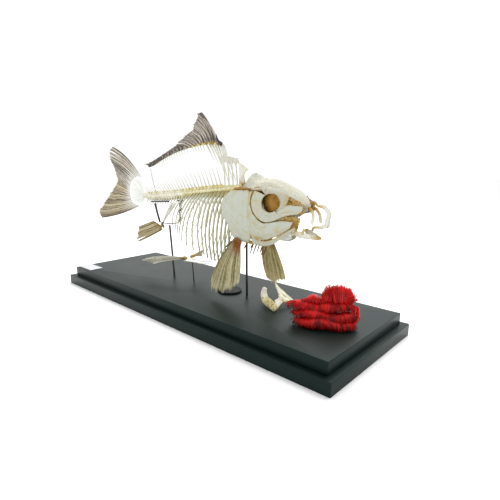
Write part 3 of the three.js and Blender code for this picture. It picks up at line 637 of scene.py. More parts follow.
# ---- Ribs ----------------------------------------------------------------------------------------
# Thin ribs, sixteen to a side, each glued by its head to the peg under its vertebra. They bow out and
# sweep back, and the dry bone is thin and greasy enough to look yellow-green.

rib_bone = dry_bone(
    "rib_bone",
    [(0.56, 0.56, 0.45), (0.4, 0.39, 0.22), (0.33, 0.24, 0.06), (0.12, 0.06, 0.015)],
    roughness=0.42,
)

RIB_BOW = 15.5


def rib_paths(x, side, seed, steps=34):
    """Centre lines: out to the side as the sine of most of a half turn, back as a power of the way
    down, and down in a straight measure to a tip that is highest at both ends of the row."""
    random = np.random.default_rng(seed)
    x = np.asarray(x)[:, None]
    t = np.linspace(0, 1, steps)[None]
    sweep = 19 + 25 * (1 - smooth(x, -18, 14)) - 10 * (1 - smooth(x, -46, -20))
    sweep = sweep * (1 + 0.04 * random.standard_normal(x.shape))
    bend = lerp(1.4, 0.62, smooth(x, -46, 12)) + 0.25 * smooth(x, 30, 60)
    tip = 86 + 0.0049 * (x - 45) ** 2 + 1.2 * random.standard_normal(x.shape)
    return xyz(
        x + 1 - sweep * ((t + 0.02) ** bend - 0.02**bend),
        side * (1.9 + RIB_BOW * np.sin(math.pi * 0.87 * t**0.8)),
        lerp(column_height(x) - 3.4, tip, t),
    )


for letter, side in (("R", -1), ("L", 1)):
    t = np.linspace(0, 1, 34)[None]
    strength = lerp(1.0, 1.5, smooth(trunk_x, -60, 50))[:, None] * (1.0 if side < 0 else 0.55)
    head = np.exp(-((t / 0.06) ** 2))
    rib_width = strength * (lerp(1.2, 0.85, t) + 0.7 * head)
    rib_depth = strength * (lerp(1.75, 1.2, t) + 1.2 * head)
    # The left ribs take a fifth of the stain, which makes them paler than the right ones: a painted wash of
    # light, because the far ribs show washed out in the light.
    rib_stain_and_light = lerp(0.04, 0.2, smooth(trunk_x, -10, 50))[:, None] * (1.0 if side < 0 else 0.2) + 0.3 * head
    make_piece(
        f"ribs_{letter}_thin",
        rib_bone,
        [f"ribs_{letter}"],
        [tubes(rib_paths(trunk_x, side, 11 + side), rib_width, rib_depth, (0, 1, 0), 10, rib_stain_and_light)],
    )

# ---- Fins ----------------------------------------------------------------------------------------
# A dried fin is one sheet: stiff rays that fork on the way out, with shrunken skin between them.
# The free edge is frayed, and here and there the skin has split.


def fin_material(name, web, skin, ray, root, roughness=0.5):
    """Dried skin and rays. The stain goes from the dark web over the skin to the pale crest of a ray,
    and the tint turns any of them to the colour that has crept in from the root."""
    material, tree, principled = shader(name, skin, roughness)
    stain = shaded(tree, "ShaderNodeAttribute", attribute_name="stain")
    tint = shaded(tree, "ShaderNodeAttribute", attribute_name="tint")
    mottles = ranged(tree, cloudiness(tree, 240, 5), 0.3, 0.75, -0.16, 0.16)
    total = added(tree, stain.outputs["Fac"], mottles)
    mixed = shaded(tree, "ShaderNodeMix", data_type="RGBA")
    mixed.inputs["B"].default_value = (*root, 1)
    clouds = ranged(tree, cloudiness(tree, 160, 3), 0.3, 0.7, -0.1, 0.08)
    tree.links.new(added(tree, tint.outputs["Fac"], clouds, True), mixed.inputs["Factor"])
    tree.links.new(ramped(tree, total, [(0.0, web), (0.45, skin), (0.9, ray)]), mixed.inputs["A"])
    tree.links.new(mixed.outputs["Result"], principled.inputs["Base Color"])
    principled.inputs["IOR"].default_value = 1.34
    raised(tree, principled, cloudiness(tree, 1500, 4), 0.00012)
    return material


def forked(u, v, rays):
    """Height of the rays over the skin, 0 to 1. A ray is a rounded ridge along v, which forks into two
    at about 0.45 of the way out."""
    single = np.abs(np.cos(math.pi * u * (rays - 1))) ** 1.8
    double = np.abs(np.cos(math.pi * (2 * u * (rays - 1) + 0.5))) ** 1.6
    return lerp(single, double, smooth(v, 0.36, 0.56))


def wander(random, u, count):
    """Smooth random values along u, from -1 to 1, with count knots."""
    return np.interp(u, np.linspace(0, 1, count), random.uniform(-1, 1, count))


def sheet_quads(rows, columns):
    """Quads of a closed sheet: a grid, the same grid behind it, and the walls between their rims."""
    count = rows * columns
    front = grid_quads(rows, columns)
    loop = np.concatenate([
        np.arange(columns), np.arange(1, rows) * columns + columns - 1,
        (rows - 1) * columns + np.arange(columns - 2, -1, -1), np.arange(rows - 2, 0, -1) * columns,
    ])
    after = np.roll(loop, -1)
    walls = np.stack([after, loop, loop + count, after + count], axis=-1)
    return np.concatenate([front, front[:, ::-1] + count, walls])


def bowed(back, up):
    """A fin's bow in x and in z, each given at the first and at the last of its rays."""
    def bow(u):
        return xyz(lerp(*back, u), 0, lerp(*up, u))

    return bow


def rounded(t, least=0.03):
    """Height of a half circle over t from 0 to 1: the root of 1 - (2t - 1)^2, and of least at its ends."""
    return np.sqrt(np.clip(1 - (2 * t - 1) ** 2, least, 1))


def fin_shape(root, tip, rays, bow, seed, start=0.0, stop=1.0, split=0.0, ridge=1.5, web=0.45, fray=0.05,
              wave=0.6, shade=None, tint=None, lift=(0, 1, 0), rows=60, rough=0.3):
    """Part of a fin from the share start to the share stop of its width. Each line of the grid runs
    from the root curve to the tip curve and is bowed off the straight by bow(u) times 4v(1-v). The
    two faces stand apart by the skin's thickness plus the rays' height. Toward the tip, both sides
    of the part draw in by split, which opens a slit between it and its neighbour. shade(u, v) is
    added to the stain, and tint(u, v) is the share of the root colour."""
    random = np.random.default_rng(seed)
    columns = max(12, int(11 * rays * (stop - start)))
    v = np.linspace(0, 1, rows)[:, None]
    edge = np.linspace(0, 1, columns)[None, :]
    gap = split * smooth(v, 0.45, 1.0)
    u = lerp(start + gap * (start > 0), stop - gap * (stop < 1), edge)
    branch = np.floor(u * (rays - 1) * 2).astype(int) % 400
    lengths = 1 - fray * random.random(400)[branch] - 0.6 * fray * (1 - forked(u, 1.0, rays))
    reach = v * lerp(1.0, lengths, smooth(v, 0.5, 1.0))
    base, end = spline(root, u), spline(tip, u)
    middle = lerp(base, end, reach[..., None]) + bow(u) * (4 * reach * (1 - reach))[..., None]
    ripple = wave * np.sin(7 * u + 3 * v) * v
    ripple = ripple + 0.5 * wave * np.sin(2 * math.pi * u * (rays - 1) / 2.3 + 5 * v) * v
    lift = np.array(lift, float)
    middle = middle + ripple[..., None] * lift
    height = forked(u, v, rays)
    thick = web + ridge * height * lerp(1.0, 0.3, v)
    rim = np.minimum(np.minimum(edge, 1 - edge) * columns / 2.5, np.minimum(v, 1 - v) * rows / 2.0)
    thick = thick * lerp(0.3, 1.0, np.clip(rim, 0, 1))
    faces = [middle + 0.5 * side * thick[..., None] * lift for side in (1, -1)]
    points = np.concatenate([face.reshape(-1, 3) for face in faces])
    quads = sheet_quads(rows, columns)
    drift = u + 0.012 * np.sin(9 * v + 4)
    streaks = rough * (wander(random, drift, 2 * rays) + 0.7 * wander(random, drift + 0.02 * v, 5 * rays))
    stain = 0.12 + 0.68 * height + streaks
    stain = stain + (shade(u, v) if shade else 0)
    tinted = tint(u, v) if tint else np.zeros_like(stain)
    looks = np.stack([stain.ravel(), (tinted + 0 * stain).ravel()])
    return points, quads, NO_TRIANGLES, np.tile(looks, 2)


taupe_fin = fin_material(
    "taupe_fin", (0.07, 0.058, 0.047), (0.29, 0.25, 0.21), (0.5, 0.45, 0.39), (0.3, 0.2, 0.07),
)
straw_fin = fin_material(
    "straw_fin", (0.07, 0.045, 0.015), (0.28, 0.215, 0.09), (0.54, 0.48, 0.29), (0.2, 0.085, 0.0),
)
tail_fin = fin_material(
    "tail_fin", (0.065, 0.055, 0.042), (0.32, 0.275, 0.215), (0.58, 0.54, 0.44), (0.8, 0.81, 0.76),
)


def pale_root(u, v):
    """The white of the plates shows in short teeth between the roots of the rays."""
    reach = 0.18 + 0.1 * np.sin(104 * u + 2 * np.sin(9 * u)) + 0.04 * np.sin(37 * u)
    return (0.72 + 0.25 * np.sin(104 * u + 2 * np.sin(9 * u))) * np.exp(-((v / reach) ** 2))


def upper_shade(u, v):
    """A dark leading edge, a slightly paler strip behind it, and tips that darken toward the rear."""
    dark_edge = -1.6 * np.exp(-((u / 0.03) ** 2)) * (1 - 0.6 * smooth(v, 0.6, 0.9))
    return dark_edge + 0.12 * np.exp(-(((u - 0.2) / 0.14) ** 2)) * (1 - v) - 0.2 * v * u


upper_root = [[-191, -0.4, 217], [-211, -0.6, 218], [-230.5, -1.6, 206], [-236.5, -1.8, 190.2]]
upper_tip = [[-298, -3, 280], [-311, -3, 267], [-307, -3, 252], [-293, -3, 234], [-280, -3, 207]]


def upper_bow(u):
    """The upper lobe's leading rays arch upward."""
    rise = lerp(10, 0, np.minimum(1, 1.6 * u))
    return xyz(0, 0, rise)


make_piece("tail_fin_upper", tail_fin, ["caudal_fin_upper"], [
    fin_shape(upper_root, upper_tip, 14, upper_bow, seed, start, stop, split, fray=fray, shade=upper_shade,
              tint=pale_root, rough=0.44)
    for seed, start, stop, split, fray in (
        (21, 0.0, 0.17, 0.026, 0.05),
        (22, 0.17, 0.31, 0.02, 0.05),
        (23, 0.31, 1.0, 0.01, 0.08),
    )
])

lower_root = [[-236.6, -2.2, 190.4], [-235, -1.8, 177], [-227, -1.4, 165.5], [-203, -0.6, 160]]
lower_tip = [[-279, -4, 207.5], [-293, -9, 190], [-311, -13, 173], [-325, -18, 156], [-339.4, -22, 140.5],
             [-331, -22, 126]]


def lower_shade(u, v):
    """A dark rim under the lobe, and paler rays beside it."""
    return -0.06 * smooth(u, 0.6, 0.9) - 1.1 * smooth(u, 0.975, 1.0) - 0.12 * v


lower_fin = fin_material(
    "lower_fin", (0.09, 0.068, 0.042), (0.39, 0.32, 0.2), (0.61, 0.54, 0.35), (0.8, 0.81, 0.76),
)
make_piece("tail_fin_lower", lower_fin, ["caudal_fin_lower"], [
    fin_shape(lower_root, lower_tip, 14, bowed((0, 0), (0, -4.5)), seed, start, stop, fray=fray,
              shade=lower_shade, tint=pale_root, rough=0.4)
    for seed, start, stop, fray in ((24, 0.0, 0.4, 0.07), (25, 0.4, 1.0, 0.05))
])

# The plates that end the column are a fan of flat bones, fused at the root and parted at the rim.
hypural_root = [[TAIL_END - 0.4, 0, 187.5], [TAIL_END - 0.4, 0, 176.5]]
hypural_tip = [[-193, 0, 215], [-214, 0, 219], [-233, 0, 207], [-240, 0, 190], [-239, 0, 177], [-230, 0, 166],
               [-199, 0, 163]]
HYPURALS = 8
white_bone = dry_bone(
    "white_bone",
    [(0.84, 0.86, 0.82), (0.66, 0.64, 0.48), (0.36, 0.22, 0.05), (0.12, 0.06, 0.015)],
)
hypural_fan = []
for i in range(HYPURALS):
    share = [(i + 0.03) / HYPURALS, (i + 0.97) / HYPURALS]
    shape = fin_shape(hypural_root, hypural_tip, 17, bowed((0, 0), (0, 0)), 30 + i, share[0], share[1], 0.004,
                      1.6, 1.6, 0.24, 0.0, rows=28, rough=0.12)
    hypural_fan.append((shape[0], shape[1], shape[2], 0.1 - 0.2 * np.clip(shape[3][0], 0, 1)))
make_piece("tail_plates", white_bone, ["hypural_plates"], hypural_fan)

front_root = [[31, 0, 272], [10, 0, 274.5], [-14, 0, 273.5], [-40, 0, 270]]
front_tip = [[-5, 0, 325.8], [-15, 0, 324.8], [-28, 0, 310.5], [-33, 0, 300], [-50, 0, 291.5],
             [-68, 0, 283.5], [-79, 0, 278]]
front_low_tip = [[-7, 0, 316], [-15, 0, 312], *front_tip[2:]]


def base_tint(u, v):
    """The gold of the bones under the fin creeps into the feet of its rays."""
    return 0.9 * np.exp(-((v / (0.06 + 0.02 * np.sin(70 * u))) ** 2))


def supports(tops, feet, head, foot, bend, stain=0.1):
    """Pterygiophores: tapered bars from the fin's base to their feet, bent sideways past the spines."""
    t = np.linspace(0, 1, 16)[None, :, None]
    tops, feet = np.array(tops, float)[:, None], np.array(feet, float)[:, None]
    paths = lerp(tops, feet, t) + np.array([0, 1, 0]) * bend * np.sin(math.pi * t)
    t = t[..., 0]
    width, depth = lerp(head[0], foot[0], t), lerp(head[1], foot[1], t)
    return tubes(paths, width, depth, (0, 1, 0), 8, stain + 0.45 * (1 - t) ** 6)


front_feet = [[66, 2.2, 216], [58, 2.6, 219], [49, 2.6, 214], [40, 2.6, 228], [34, 2.6, 240], [26, 2.6, 243],
              [17, 2.6, 246]]
front_tops = [[38, 0.9, 271], [33, 0.9, 273], [27, 0.9, 274], [21, 0.9, 274], [14, 0.9, 274], [8, 0.9, 274],
              [0, 0.9, 274]]
knuckle_x = np.linspace(33, -38, 15)
knuckle_z = np.interp(knuckle_x, [-40, -14, 12, 35], [270, 273.5, 274.5, 272])
knuckles = xyz(knuckle_x[:, None] + np.linspace(-2.3, 2.3, 7)[None], 0, knuckle_z[:, None])
swell = 1.5 * np.sqrt(np.clip(1 - np.linspace(-1, 1, 7) ** 2, 0.03, 1))[None]


def front_shade(u, v):
    """Pale leading rays, a dark band behind them, and skin that is darkest low in front."""
    pale = 0.5 * (1 - smooth(u, 0.06, 0.1)) * (1 - 0.5 * smooth(v, 0.7, 1))
    band = 0.42 * np.exp(-(((u - 0.17) / 0.07) ** 2))
    low = 0.3 * np.exp(-(((v - 0.1) / 0.14) ** 2)) * (1 - smooth(u, 0.5, 0.8))
    return pale - band - low - 0.12 * smooth(v, 0.8, 1) + 0.12 * smooth(u, 0.45, 0.8)


make_piece("dorsal_front_fin", taupe_fin, ["dorsal_fin_front"], [
    fin_shape(front_root, tip, 12, bowed((5.5, 3), (3, 2)), seed, start, stop, 0.0, ridge, fray=fray,
              shade=front_shade, tint=base_tint)
    for tip, seed, start, stop, ridge, fray in (
        (front_low_tip, 41, 0.0, 0.035, 2.0, 0.05),
        (front_low_tip, 46, 0.045, 0.085, 2.0, 0.05),
        (front_tip, 42, 0.105, 0.62, 1.5, 0.06),
        (front_tip, 43, 0.61, 1.0, 1.5, 0.09),
    )
])
t = np.linspace(0, 1, 30)
broad = np.interp(t, [0, 0.25, 0.6, 1], [4.2, 5.4, 5.0, 1.0])
first_support = spline([[38, 0.4, 270.5], [42, 0.4, 262], [46, 0.4, 253], [55, 0.4, 243]], t)
SHORT_SUPPORT_X = (-8, -15, -22, -29, -36)
make_piece("dorsal_front_supports", spine_bone, [], [
    supports(front_tops, front_feet, (0.9, 2.2), (0.4, 0.5), 0.9, 0.02),
    supports([[x, 0, 274] for x in SHORT_SUPPORT_X], [[x + 7, 0, 262] for x in SHORT_SUPPORT_X],
             (0.9, 1.4), (0.3, 0.3), 0.0),
    tubes(first_support, lerp(0.9, 0.5, t), broad, (0, 1, 0), 14, 0.02 + 0.1 * np.sin(14 * t)),
])
make_piece("dorsal_front_knuckles", cream_bone, [], [
    tubes(knuckles, swell, swell * 1.3, (0, 1, 0), 10, 0.5 + 0.2 * np.sin(np.arange(15) * 2.3)[:, None]),
])

rear_root = [[-40.6, 0.6, 269.2], [-84, 0.4, 260.5], [-119, 0, 250], [-150, 0, 239], [-166, 0, 236]]
rear_tip = [[-79.6, 1.4, 276.6], [-92, 0.8, 270], [-112, 0, 262.5], [-136, 0, 254], [-156, 0, 247.5],
            [-184, 0, 240]]


def rear_shade(u, v):
    """The rear of the fin is darker, and darkest at its end."""
    return -0.3 - 0.42 * smooth(u, 0.1, 0.9)


make_piece("dorsal_rear_fin", taupe_fin, ["dorsal_fin_rear"], [
    fin_shape(rear_root, rear_tip, 17, bowed((4, 4), (2.5, 2.5)), seed, start, stop, split, 1.8, fray=fray,
              shade=rear_shade)
    for seed, start, stop, split, fray in ((44, 0.0, 0.9, 0.006, 0.14), (45, 0.9, 1.0, 0.02, 0.1))
])
rear_share = 0.04 + np.arange(15) / 15.6
rear_top = spline([[-46, 0, 269.5], [-84, 0, 261.5], [-119, 0, 251], [-150, 0, 239.8]], rear_share)
rear_foot = rear_top + xyz(6.0, 0, -np.linspace(11, 5, 15))
make_piece("dorsal_rear_supports", spine_bone, [], [
    supports(rear_top + [0, 0, 1], rear_foot, (0.8, 1.1), (0.25, 0.25), 0.0),
])

thorn_dark, tree, principled = shader("thorn_dark", (0.02, 0.016, 0.012), 0.4)
raised(tree, principled, cloudiness(tree, 900, 3), 0.0001)
t = np.linspace(0, 1, 20)
make_piece("dorsal_thorn_spine", thorn_dark, ["dorsal_thorn"], [
    tubes(spline([[39, -1.8, 271.5], [31, -1.8, 277.5], [26.5, -1.5, 287]], t), lerp(1.8, 0.5, t),
          lerp(3.6, 0.9, t), (0, 1, 0), 12),
])

# The anal fin hangs from two long blades behind the belly.
anal_root = [[-131, 0, 118], [-133, 0, 125.5], [-145, 0, 130], [-159, 0, 133.5]]
anal_tip = [[-228, 0, 79.5], [-224, 0, 92], [-220, 0, 106], [-213, 0, 116.5]]


def brown_root(u, v):
    """The brown of the root runs out along the rays."""
    return 0.8 * np.exp(-((v / (0.1 + 0.03 * np.sin(40 * u))) ** 2))


make_piece("anal_fin_dried", straw_fin, ["anal_fin"], [
    fin_shape(anal_root, anal_tip, 8, bowed((0, 0), (-1, 0.5)), seed, start, stop, split, 1.8, fray=fray,
              tint=brown_root, rough=0.45)
    for seed, start, stop, split, fray in ((51, 0.0, 0.18, 0.05, 0.1), (52, 0.18, 1.0, 0.02, 0.06))
])
t = np.linspace(0, 1, 24)
blades = []
for top, foot_x, low_z in ((-88, -127, 131.5), (-97, -130, 130.5)):
    line = spline([[top, 1.6, 172], [lerp(top, foot_x, 0.55), 1.4, 152], [foot_x, 0, low_z]], t)
    blade_depth = lerp(1.1, 3.0, np.sin(math.pi * np.minimum(1, 0.2 + t)))
    blades.append(tubes(line, 0.7, blade_depth, (0, 1, 0), 12, 0.1))
knuckle = spline([[-133, 0, 130.5], [-128.6, 0, 127.5], [-124, 0, 123.5]], t)
blades.append(tubes(knuckle, 2.4 * rounded(t, 0.02), 3.4 * rounded(t, 0.02), (0, 1, 0), 16, 0.75))
make_piece("anal_fin_blades", spine_bone, ["anal_pterygiophores"], blades)

# ---- Pelvic girdle and pelvic fins ---------------------------------------------------------------
# Two flat triangular bones joined at the back, on their own thin rod, with a fin on each side.


def unit_grid(columns, rows):
    """Two shares from 0 to 1, the first along the columns of a grid and the second along its rows."""
    return np.meshgrid(np.linspace(0, 1, columns), np.linspace(0, 1, rows))


EDGE_CELLS = 3.0


def shell(middle, thickness, stain):
    """A closed plate round a grid of points: two faces set apart along the surface's own normal, which
    is the cross product of its two directions. The rim is drawn together over its last cells."""
    rows, columns = middle.shape[:2]
    normal = unit(np.cross(np.gradient(middle, axis=1), np.gradient(middle, axis=0)))
    row, column = np.arange(rows)[:, None], np.arange(columns)[None]
    rim = np.minimum(np.minimum(row, rows - 1 - row), np.minimum(column, columns - 1 - column)) / EDGE_CELLS
    rounding = np.sqrt(np.clip(1 - (1 - np.clip(rim, 0, 1)) ** 2, 0.02, 1))
    offset = normal * (0.5 * np.broadcast_to(thickness, (rows, columns)) * rounding)[..., None]
    points = np.concatenate([(middle + offset).reshape(-1, 3), (middle - offset).reshape(-1, 3)])
    quads = sheet_quads(rows, columns)
    return points, quads, NO_TRIANGLES, np.tile(np.broadcast_to(stain, (rows, columns)).ravel(), 2)


girdle = []
for side in (-1, 1):
    u, v = unit_grid(60, 22)
    half = lerp(7.0, 1.2, u**0.8) * (1 - 0.8 * u * (1 - u))
    ridge = 1.3 * np.exp(-(((v - 0.35) / 0.12) ** 2)) * (1 - u)
    surface = xyz(
        lerp(-49, 14, u) - 2 * (v - 0.5) ** 2 * 4 * (1 - u),
        side * (lerp(6.2, 8.5, u) + (v - 0.5) * 2 * half),
        73.5 + 4 * u - 6 * u * (1 - u) + ridge + 0.5 * np.sin(9 * u + 5 * v),
    )
    girdle.append(shell(surface, lerp(2.4, 1.1, u), 0.03 + 0.4 * np.exp(-u / 0.06)))
t = np.linspace(0, 1, 20)
seam = spline([[-46, -6, 73.6], [-47, 0, 74.2], [-46, 6, 73.6]], t)
girdle.append(tubes(seam, 2.3, 1.5, (1, 0, 0), 14, 0.3))
make_piece("pelvic_girdle_bones", white_bone, ["pelvic_girdle"], girdle)


pelvic_fin = fin_material(
    "pelvic_fin", (0.26, 0.23, 0.15), (0.58, 0.56, 0.46), (0.76, 0.75, 0.64), (0.3, 0.19, 0.02),
)


def gold_all(u, v):
    """The folded fin is golden nearly to its tips."""
    return 0.75 - 0.3 * v + 0.12 * np.sin(40 * u)


for letter, side, pelvic_root, pelvic_tip in (
    ("R", -1, [[-51.6, -13, 79], [-54, -11, 77], [-52.5, -9, 74.6]],
     [[-104, -44, 77], [-122, -54, 70], [-122, -46, 65], [-106, -40, 62]]),
    ("L", 1, [[-51.6, 13, 79], [-54, 9, 77.5], [-52.5, 4.5, 74.5]],
     [[-66, 51, 81.5], [-71, 52, 78], [-72, 51, 71], [-70, 49, 66.5]]),
):
    knob = spline([[-49.5, side * 15, 78.4], [-53, side * 9, 77], [-50.5, side * 4, 75.5]], t)
    round_off = rounded(t)
    gold = np.stack([0.3 + 0 * t, 0.95 + 0 * t])[:, None]
    make_piece(f"pelvic_fin_{letter}_dried", pelvic_fin, [f"pelvic_fin_{letter}"], [
        fin_shape(pelvic_root, pelvic_tip, 9, bowed((0, 0), (2, 2)), 60 + side, ridge=1.7, fray=0.06,
                  tint=brown_root if side < 0 else gold_all,
                  lift=(-0.45, 0.75, 0.4) if side < 0 else (0.85, 0.35, -0.4)),
        tubes(knob, 3.4 * round_off, 3.6 * round_off, (0, 0, 1), 14, gold),
    ])

# ---- Skull ---------------------------------------------------------------------------------------
# The braincase is one mass: a domed roof that ends in a rough crest, a sharp brow over each eye, and a
# narrow keel between them, brown inside the sockets where fat was left. The roof is granular.

skull_bone = dry_bone(
    "skull_bone",
    [(0.46, 0.46, 0.385), (0.45, 0.39, 0.22), (0.36, 0.18, 0.02), (0.09, 0.035, 0.004)],
    grain=700,
    relief=0.0006,
    roughness=0.6,
)

SKULL_BACK, SKULL_FRONT = 88.0, 202.0
ROOF_LINE = [[88, 210.5], [99, 222.6], [109, 229], [118, 224.5], [127, 220.8], [146, 221], [158, 217.4],
             [170.5, 211.6], [186, 202.5], [196, 195], [204, 187]]
BROW_LINE = [[88, 4.5, 207], [100, 14, 207.5], [112, 27, 206.5], [124, 32, 206], [138, 31.5, 207.5],
             [150, 28, 208], [162, 25, 206.5], [176, 21.5, 203], [190, 15.5, 196], [198, 11, 191],
             [204, 5, 185.5]]
KEEL_LINE = [[88, 3, 199], [106, 4.5, 193], [124, 6, 184], [145, 5, 176], [165, 4.5, 173], [185, 5, 174.5],
             [204, 3.5, 180.5]]


def along_x(line, x):
    """Values of a curve given by (x, value...) places, smoothed by a Catmull-Rom curve, at each x."""
    line = np.array(line, float)
    fine = spline(line, np.linspace(0, 1, 400))
    return np.stack([np.interp(x, fine[:, 0], fine[:, k]) for k in range(1, line.shape[1])], axis=-1)


def roughness_of(x, y, z, size):
    """Small uneven relief: a sum of sines in three directions, with waves of about size mm."""
    k = 2 * math.pi / size
    return (
        np.sin(k * x + 1.3 * np.sin(0.7 * k * z)) * np.sin(1.1 * k * y + 0.9 * np.sin(0.6 * k * x))
        + 0.6 * np.sin(1.9 * k * z + 1.7 * np.sin(1.1 * k * x)) * np.sin(1.7 * k * x + 0.4 * k * y)
        + 0.35 * np.sin(3.1 * k * (x + z)) * np.sin(2.7 * k * y - 0.8 * k * z)
    )


SKULL_STEPS, SECTION_STEPS = 150, 120
x = lerp(SKULL_BACK, SKULL_FRONT, np.linspace(0, 1, SKULL_STEPS))[:, None]
top = along_x(ROOF_LINE, x[:, 0])
brow = along_x(BROW_LINE, x[:, 0])
keel = along_x(KEEL_LINE, x[:, 0])
section = np.linspace(0, 2 * math.pi, SECTION_STEPS, endpoint=False)[None]
way = np.abs(section / math.pi - 1) * -1 + 1
side = np.where(section < math.pi, 1.0, -1.0)
corner_at = [0, 0.17, 0.34, 0.47, 0.52, 0.68, 0.85, 1.0]
corner_y = [0 * brow[:, 0], 0.58 * brow[:, 0], 0.93 * brow[:, 0], brow[:, 0], 0.97 * brow[:, 0],
            0.4 * brow[:, 0], keel[:, 0], 0 * brow[:, 0]]
brow_drop = top[:, 0] - brow[:, 1]
corner_z = [top[:, 0], top[:, 0] - 0.3 * brow_drop, top[:, 0] - 0.84 * brow_drop, brow[:, 1],
            brow[:, 1] - 2.4, lerp(brow[:, 1], keel[:, 1], 0.55), keel[:, 1] + 2, keel[:, 1]]
y, z = np.zeros((SKULL_STEPS, SECTION_STEPS)), np.zeros((SKULL_STEPS, SECTION_STEPS))
for low_way, high_way, k in zip(corner_at[:-1], corner_at[1:], range(7)):
    inside = (way >= low_way) & (way <= high_way)
    f = np.clip((way - low_way) / (high_way - low_way), 0, 1)
    y = np.where(inside, lerp(corner_y[k][:, None], corner_y[k + 1][:, None], f), y)
    z = np.where(inside, lerp(corner_z[k][:, None], corner_z[k + 1][:, None], f), z)
for _ in range(4):
    y_smooth = (np.roll(side * y, 1, 1) + 2 * side * y + np.roll(side * y, -1, 1)) / 4
    z = (np.roll(z, 1, 1) + 2 * z + np.roll(z, -1, 1)) / 4
    y = side * y_smooth
under = smooth(way, 0.47, 0.56)
crest = smooth(x, 96, 108) * (1 - smooth(x, 112, 126)) * np.exp(-((way / 0.12) ** 2))
pitted = roughness_of(x, side * y, z, 7.0)
knob = 1.6 * np.exp(-(((x - 130) / 2.2) ** 2) - (y / 5) ** 2) * (1 - under)
bumps = 0.42 * pitted * (1 - under) + 1.5 * crest * roughness_of(x, side * y, z, 4.4) + knob
skull = np.stack([x + 0 * y, side * y, z + bumps], axis=-1)
suture = np.exp(-((x - 131 - 2 * np.sin(side * y * 0.5)) / 0.5) ** 2) * (1 - under) * (np.abs(y) < 22)
midline = np.exp(-((y / 0.5) ** 2)) * (x > 128) * (x < 176) * (1 - under)
stain = (
    0.02 + (0.72 * smooth(x, 124, 136) + 0.45) * under * (1 - 0.95 * smooth(x, 186, 197))
    - 0.1 * crest + 0.3 * suture + 0.22 * midline
    + 0.09 * pitted * (1 - under)
    # The dark line just under the brow's edge behind the eye is painted shade under the overhang.
    + 0.8 * np.exp(-(((z - brow[:, 1:2] - 2.4) / 0.7) ** 2)) * smooth(x, 131, 134) * (1 - smooth(x, 145, 148))
)
ends = [[SKULL_BACK, 0, (top[0, 0] + keel[0, 1]) / 2], [SKULL_FRONT, 0, (top[-1, 0] + keel[-1, 1]) / 2]]
braincase = (
    np.concatenate([skull.reshape(-1, 3), ends]),
    grid_quads(SKULL_STEPS, SECTION_STEPS, True),
    end_fans(SKULL_STEPS, SECTION_STEPS),
    np.append(stain.ravel(), [0.5, 0.3]),
)

HEAD_MIDDLE, HALF_WIDTH, FRONT_RATE, REAR_RATE = 112.0, 39.0, 0.01295, 0.01
CHEEK_HEIGHT, CHEEK_DEPTH = 178.0, 75.0


def cheek(x, z):
    """Half-width of the head: a cosine of the distance from the widest place, faster toward the mouth,
    times the side of an ellipse in height."""
    rate = np.where(x > HEAD_MIDDLE, FRONT_RATE, REAR_RATE)
    width = HALF_WIDTH * np.cos((x - HEAD_MIDDLE) * rate)
    return width * np.sqrt(np.clip(1 - ((z - CHEEK_HEIGHT) / CHEEK_DEPTH) ** 2, 0, 1))


def roof_height(x, y):
    """Height of the skull's roof: it falls from the middle line to the brow as the share of the
    half-width to the power 2.2."""
    top, brow = along_x(ROOF_LINE, x)[..., 0], along_x(BROW_LINE, x)
    return top - (top - brow[..., 1]) * (np.abs(y) / brow[..., 0]) ** 2.2


ORBIT_X, ORBIT_Z, ORBIT_RADIUS = 161.7, 189.7, 12.3


def eye_rim(degrees):
    """(x, z) of the eye socket's rim at an angle from the front, turning upward."""
    angle = np.radians(degrees)
    return np.stack([ORBIT_X + ORBIT_RADIUS * np.cos(angle), ORBIT_Z + ORBIT_RADIUS * np.sin(angle)], axis=-1)


# The brow and the wing of bone in front of the eye are one curved sheet that runs from the roof down
# to the socket's rim and forward to the nostril.
BROW_OUTER = [(176.5, None, 181), (181, None, 185), (184, None, 191), (184.5, 18.0, None), (177, 18.5, None),
              (168, 20.0, None), (158, 22.5, None), (149, 25.0, None), (141, 27.5, None)]
outer = []
for at_x, at_y, at_z in BROW_OUTER:
    if at_y is None:
        outer.append([at_x, 0.955 * float(cheek(at_x, at_z)), at_z])
    else:
        outer.append([at_x, at_y, float(roof_height(np.array([at_x]), at_y)[0]) - 0.3])
u, v = unit_grid(90, 26)
rim = eye_rim(lerp(-52, 124, u))
rim = np.stack([rim[..., 0], 0.985 * cheek(rim[..., 0], rim[..., 1]), rim[..., 1]], axis=-1)
brow_sheet = lerp(rim, spline(outer, u), v[..., None])
brow_sheet[..., 1] += 1.2 * np.sin(math.pi * v)
brow_sheet[..., 2] += 0.5 * np.sin(math.pi * v) * np.clip(np.sin(math.pi * u), 0, 1)
brow_stain = 0.02 + 0.5 * np.exp(-v / 0.05) + 0.07 * roughness_of(*np.moveaxis(brow_sheet, -1, 0), 6.0)
crack = brow_sheet[..., 0] - 152.4 - 0.8 * np.sin(0.5 * brow_sheet[..., 2])
brow_stain += 0.6 * np.exp(-((crack / 0.6) ** 2)) * (brow_sheet[..., 2] > 203)
brow_stain += 0.3 * smooth(brow_sheet[..., 0], 176, 183)

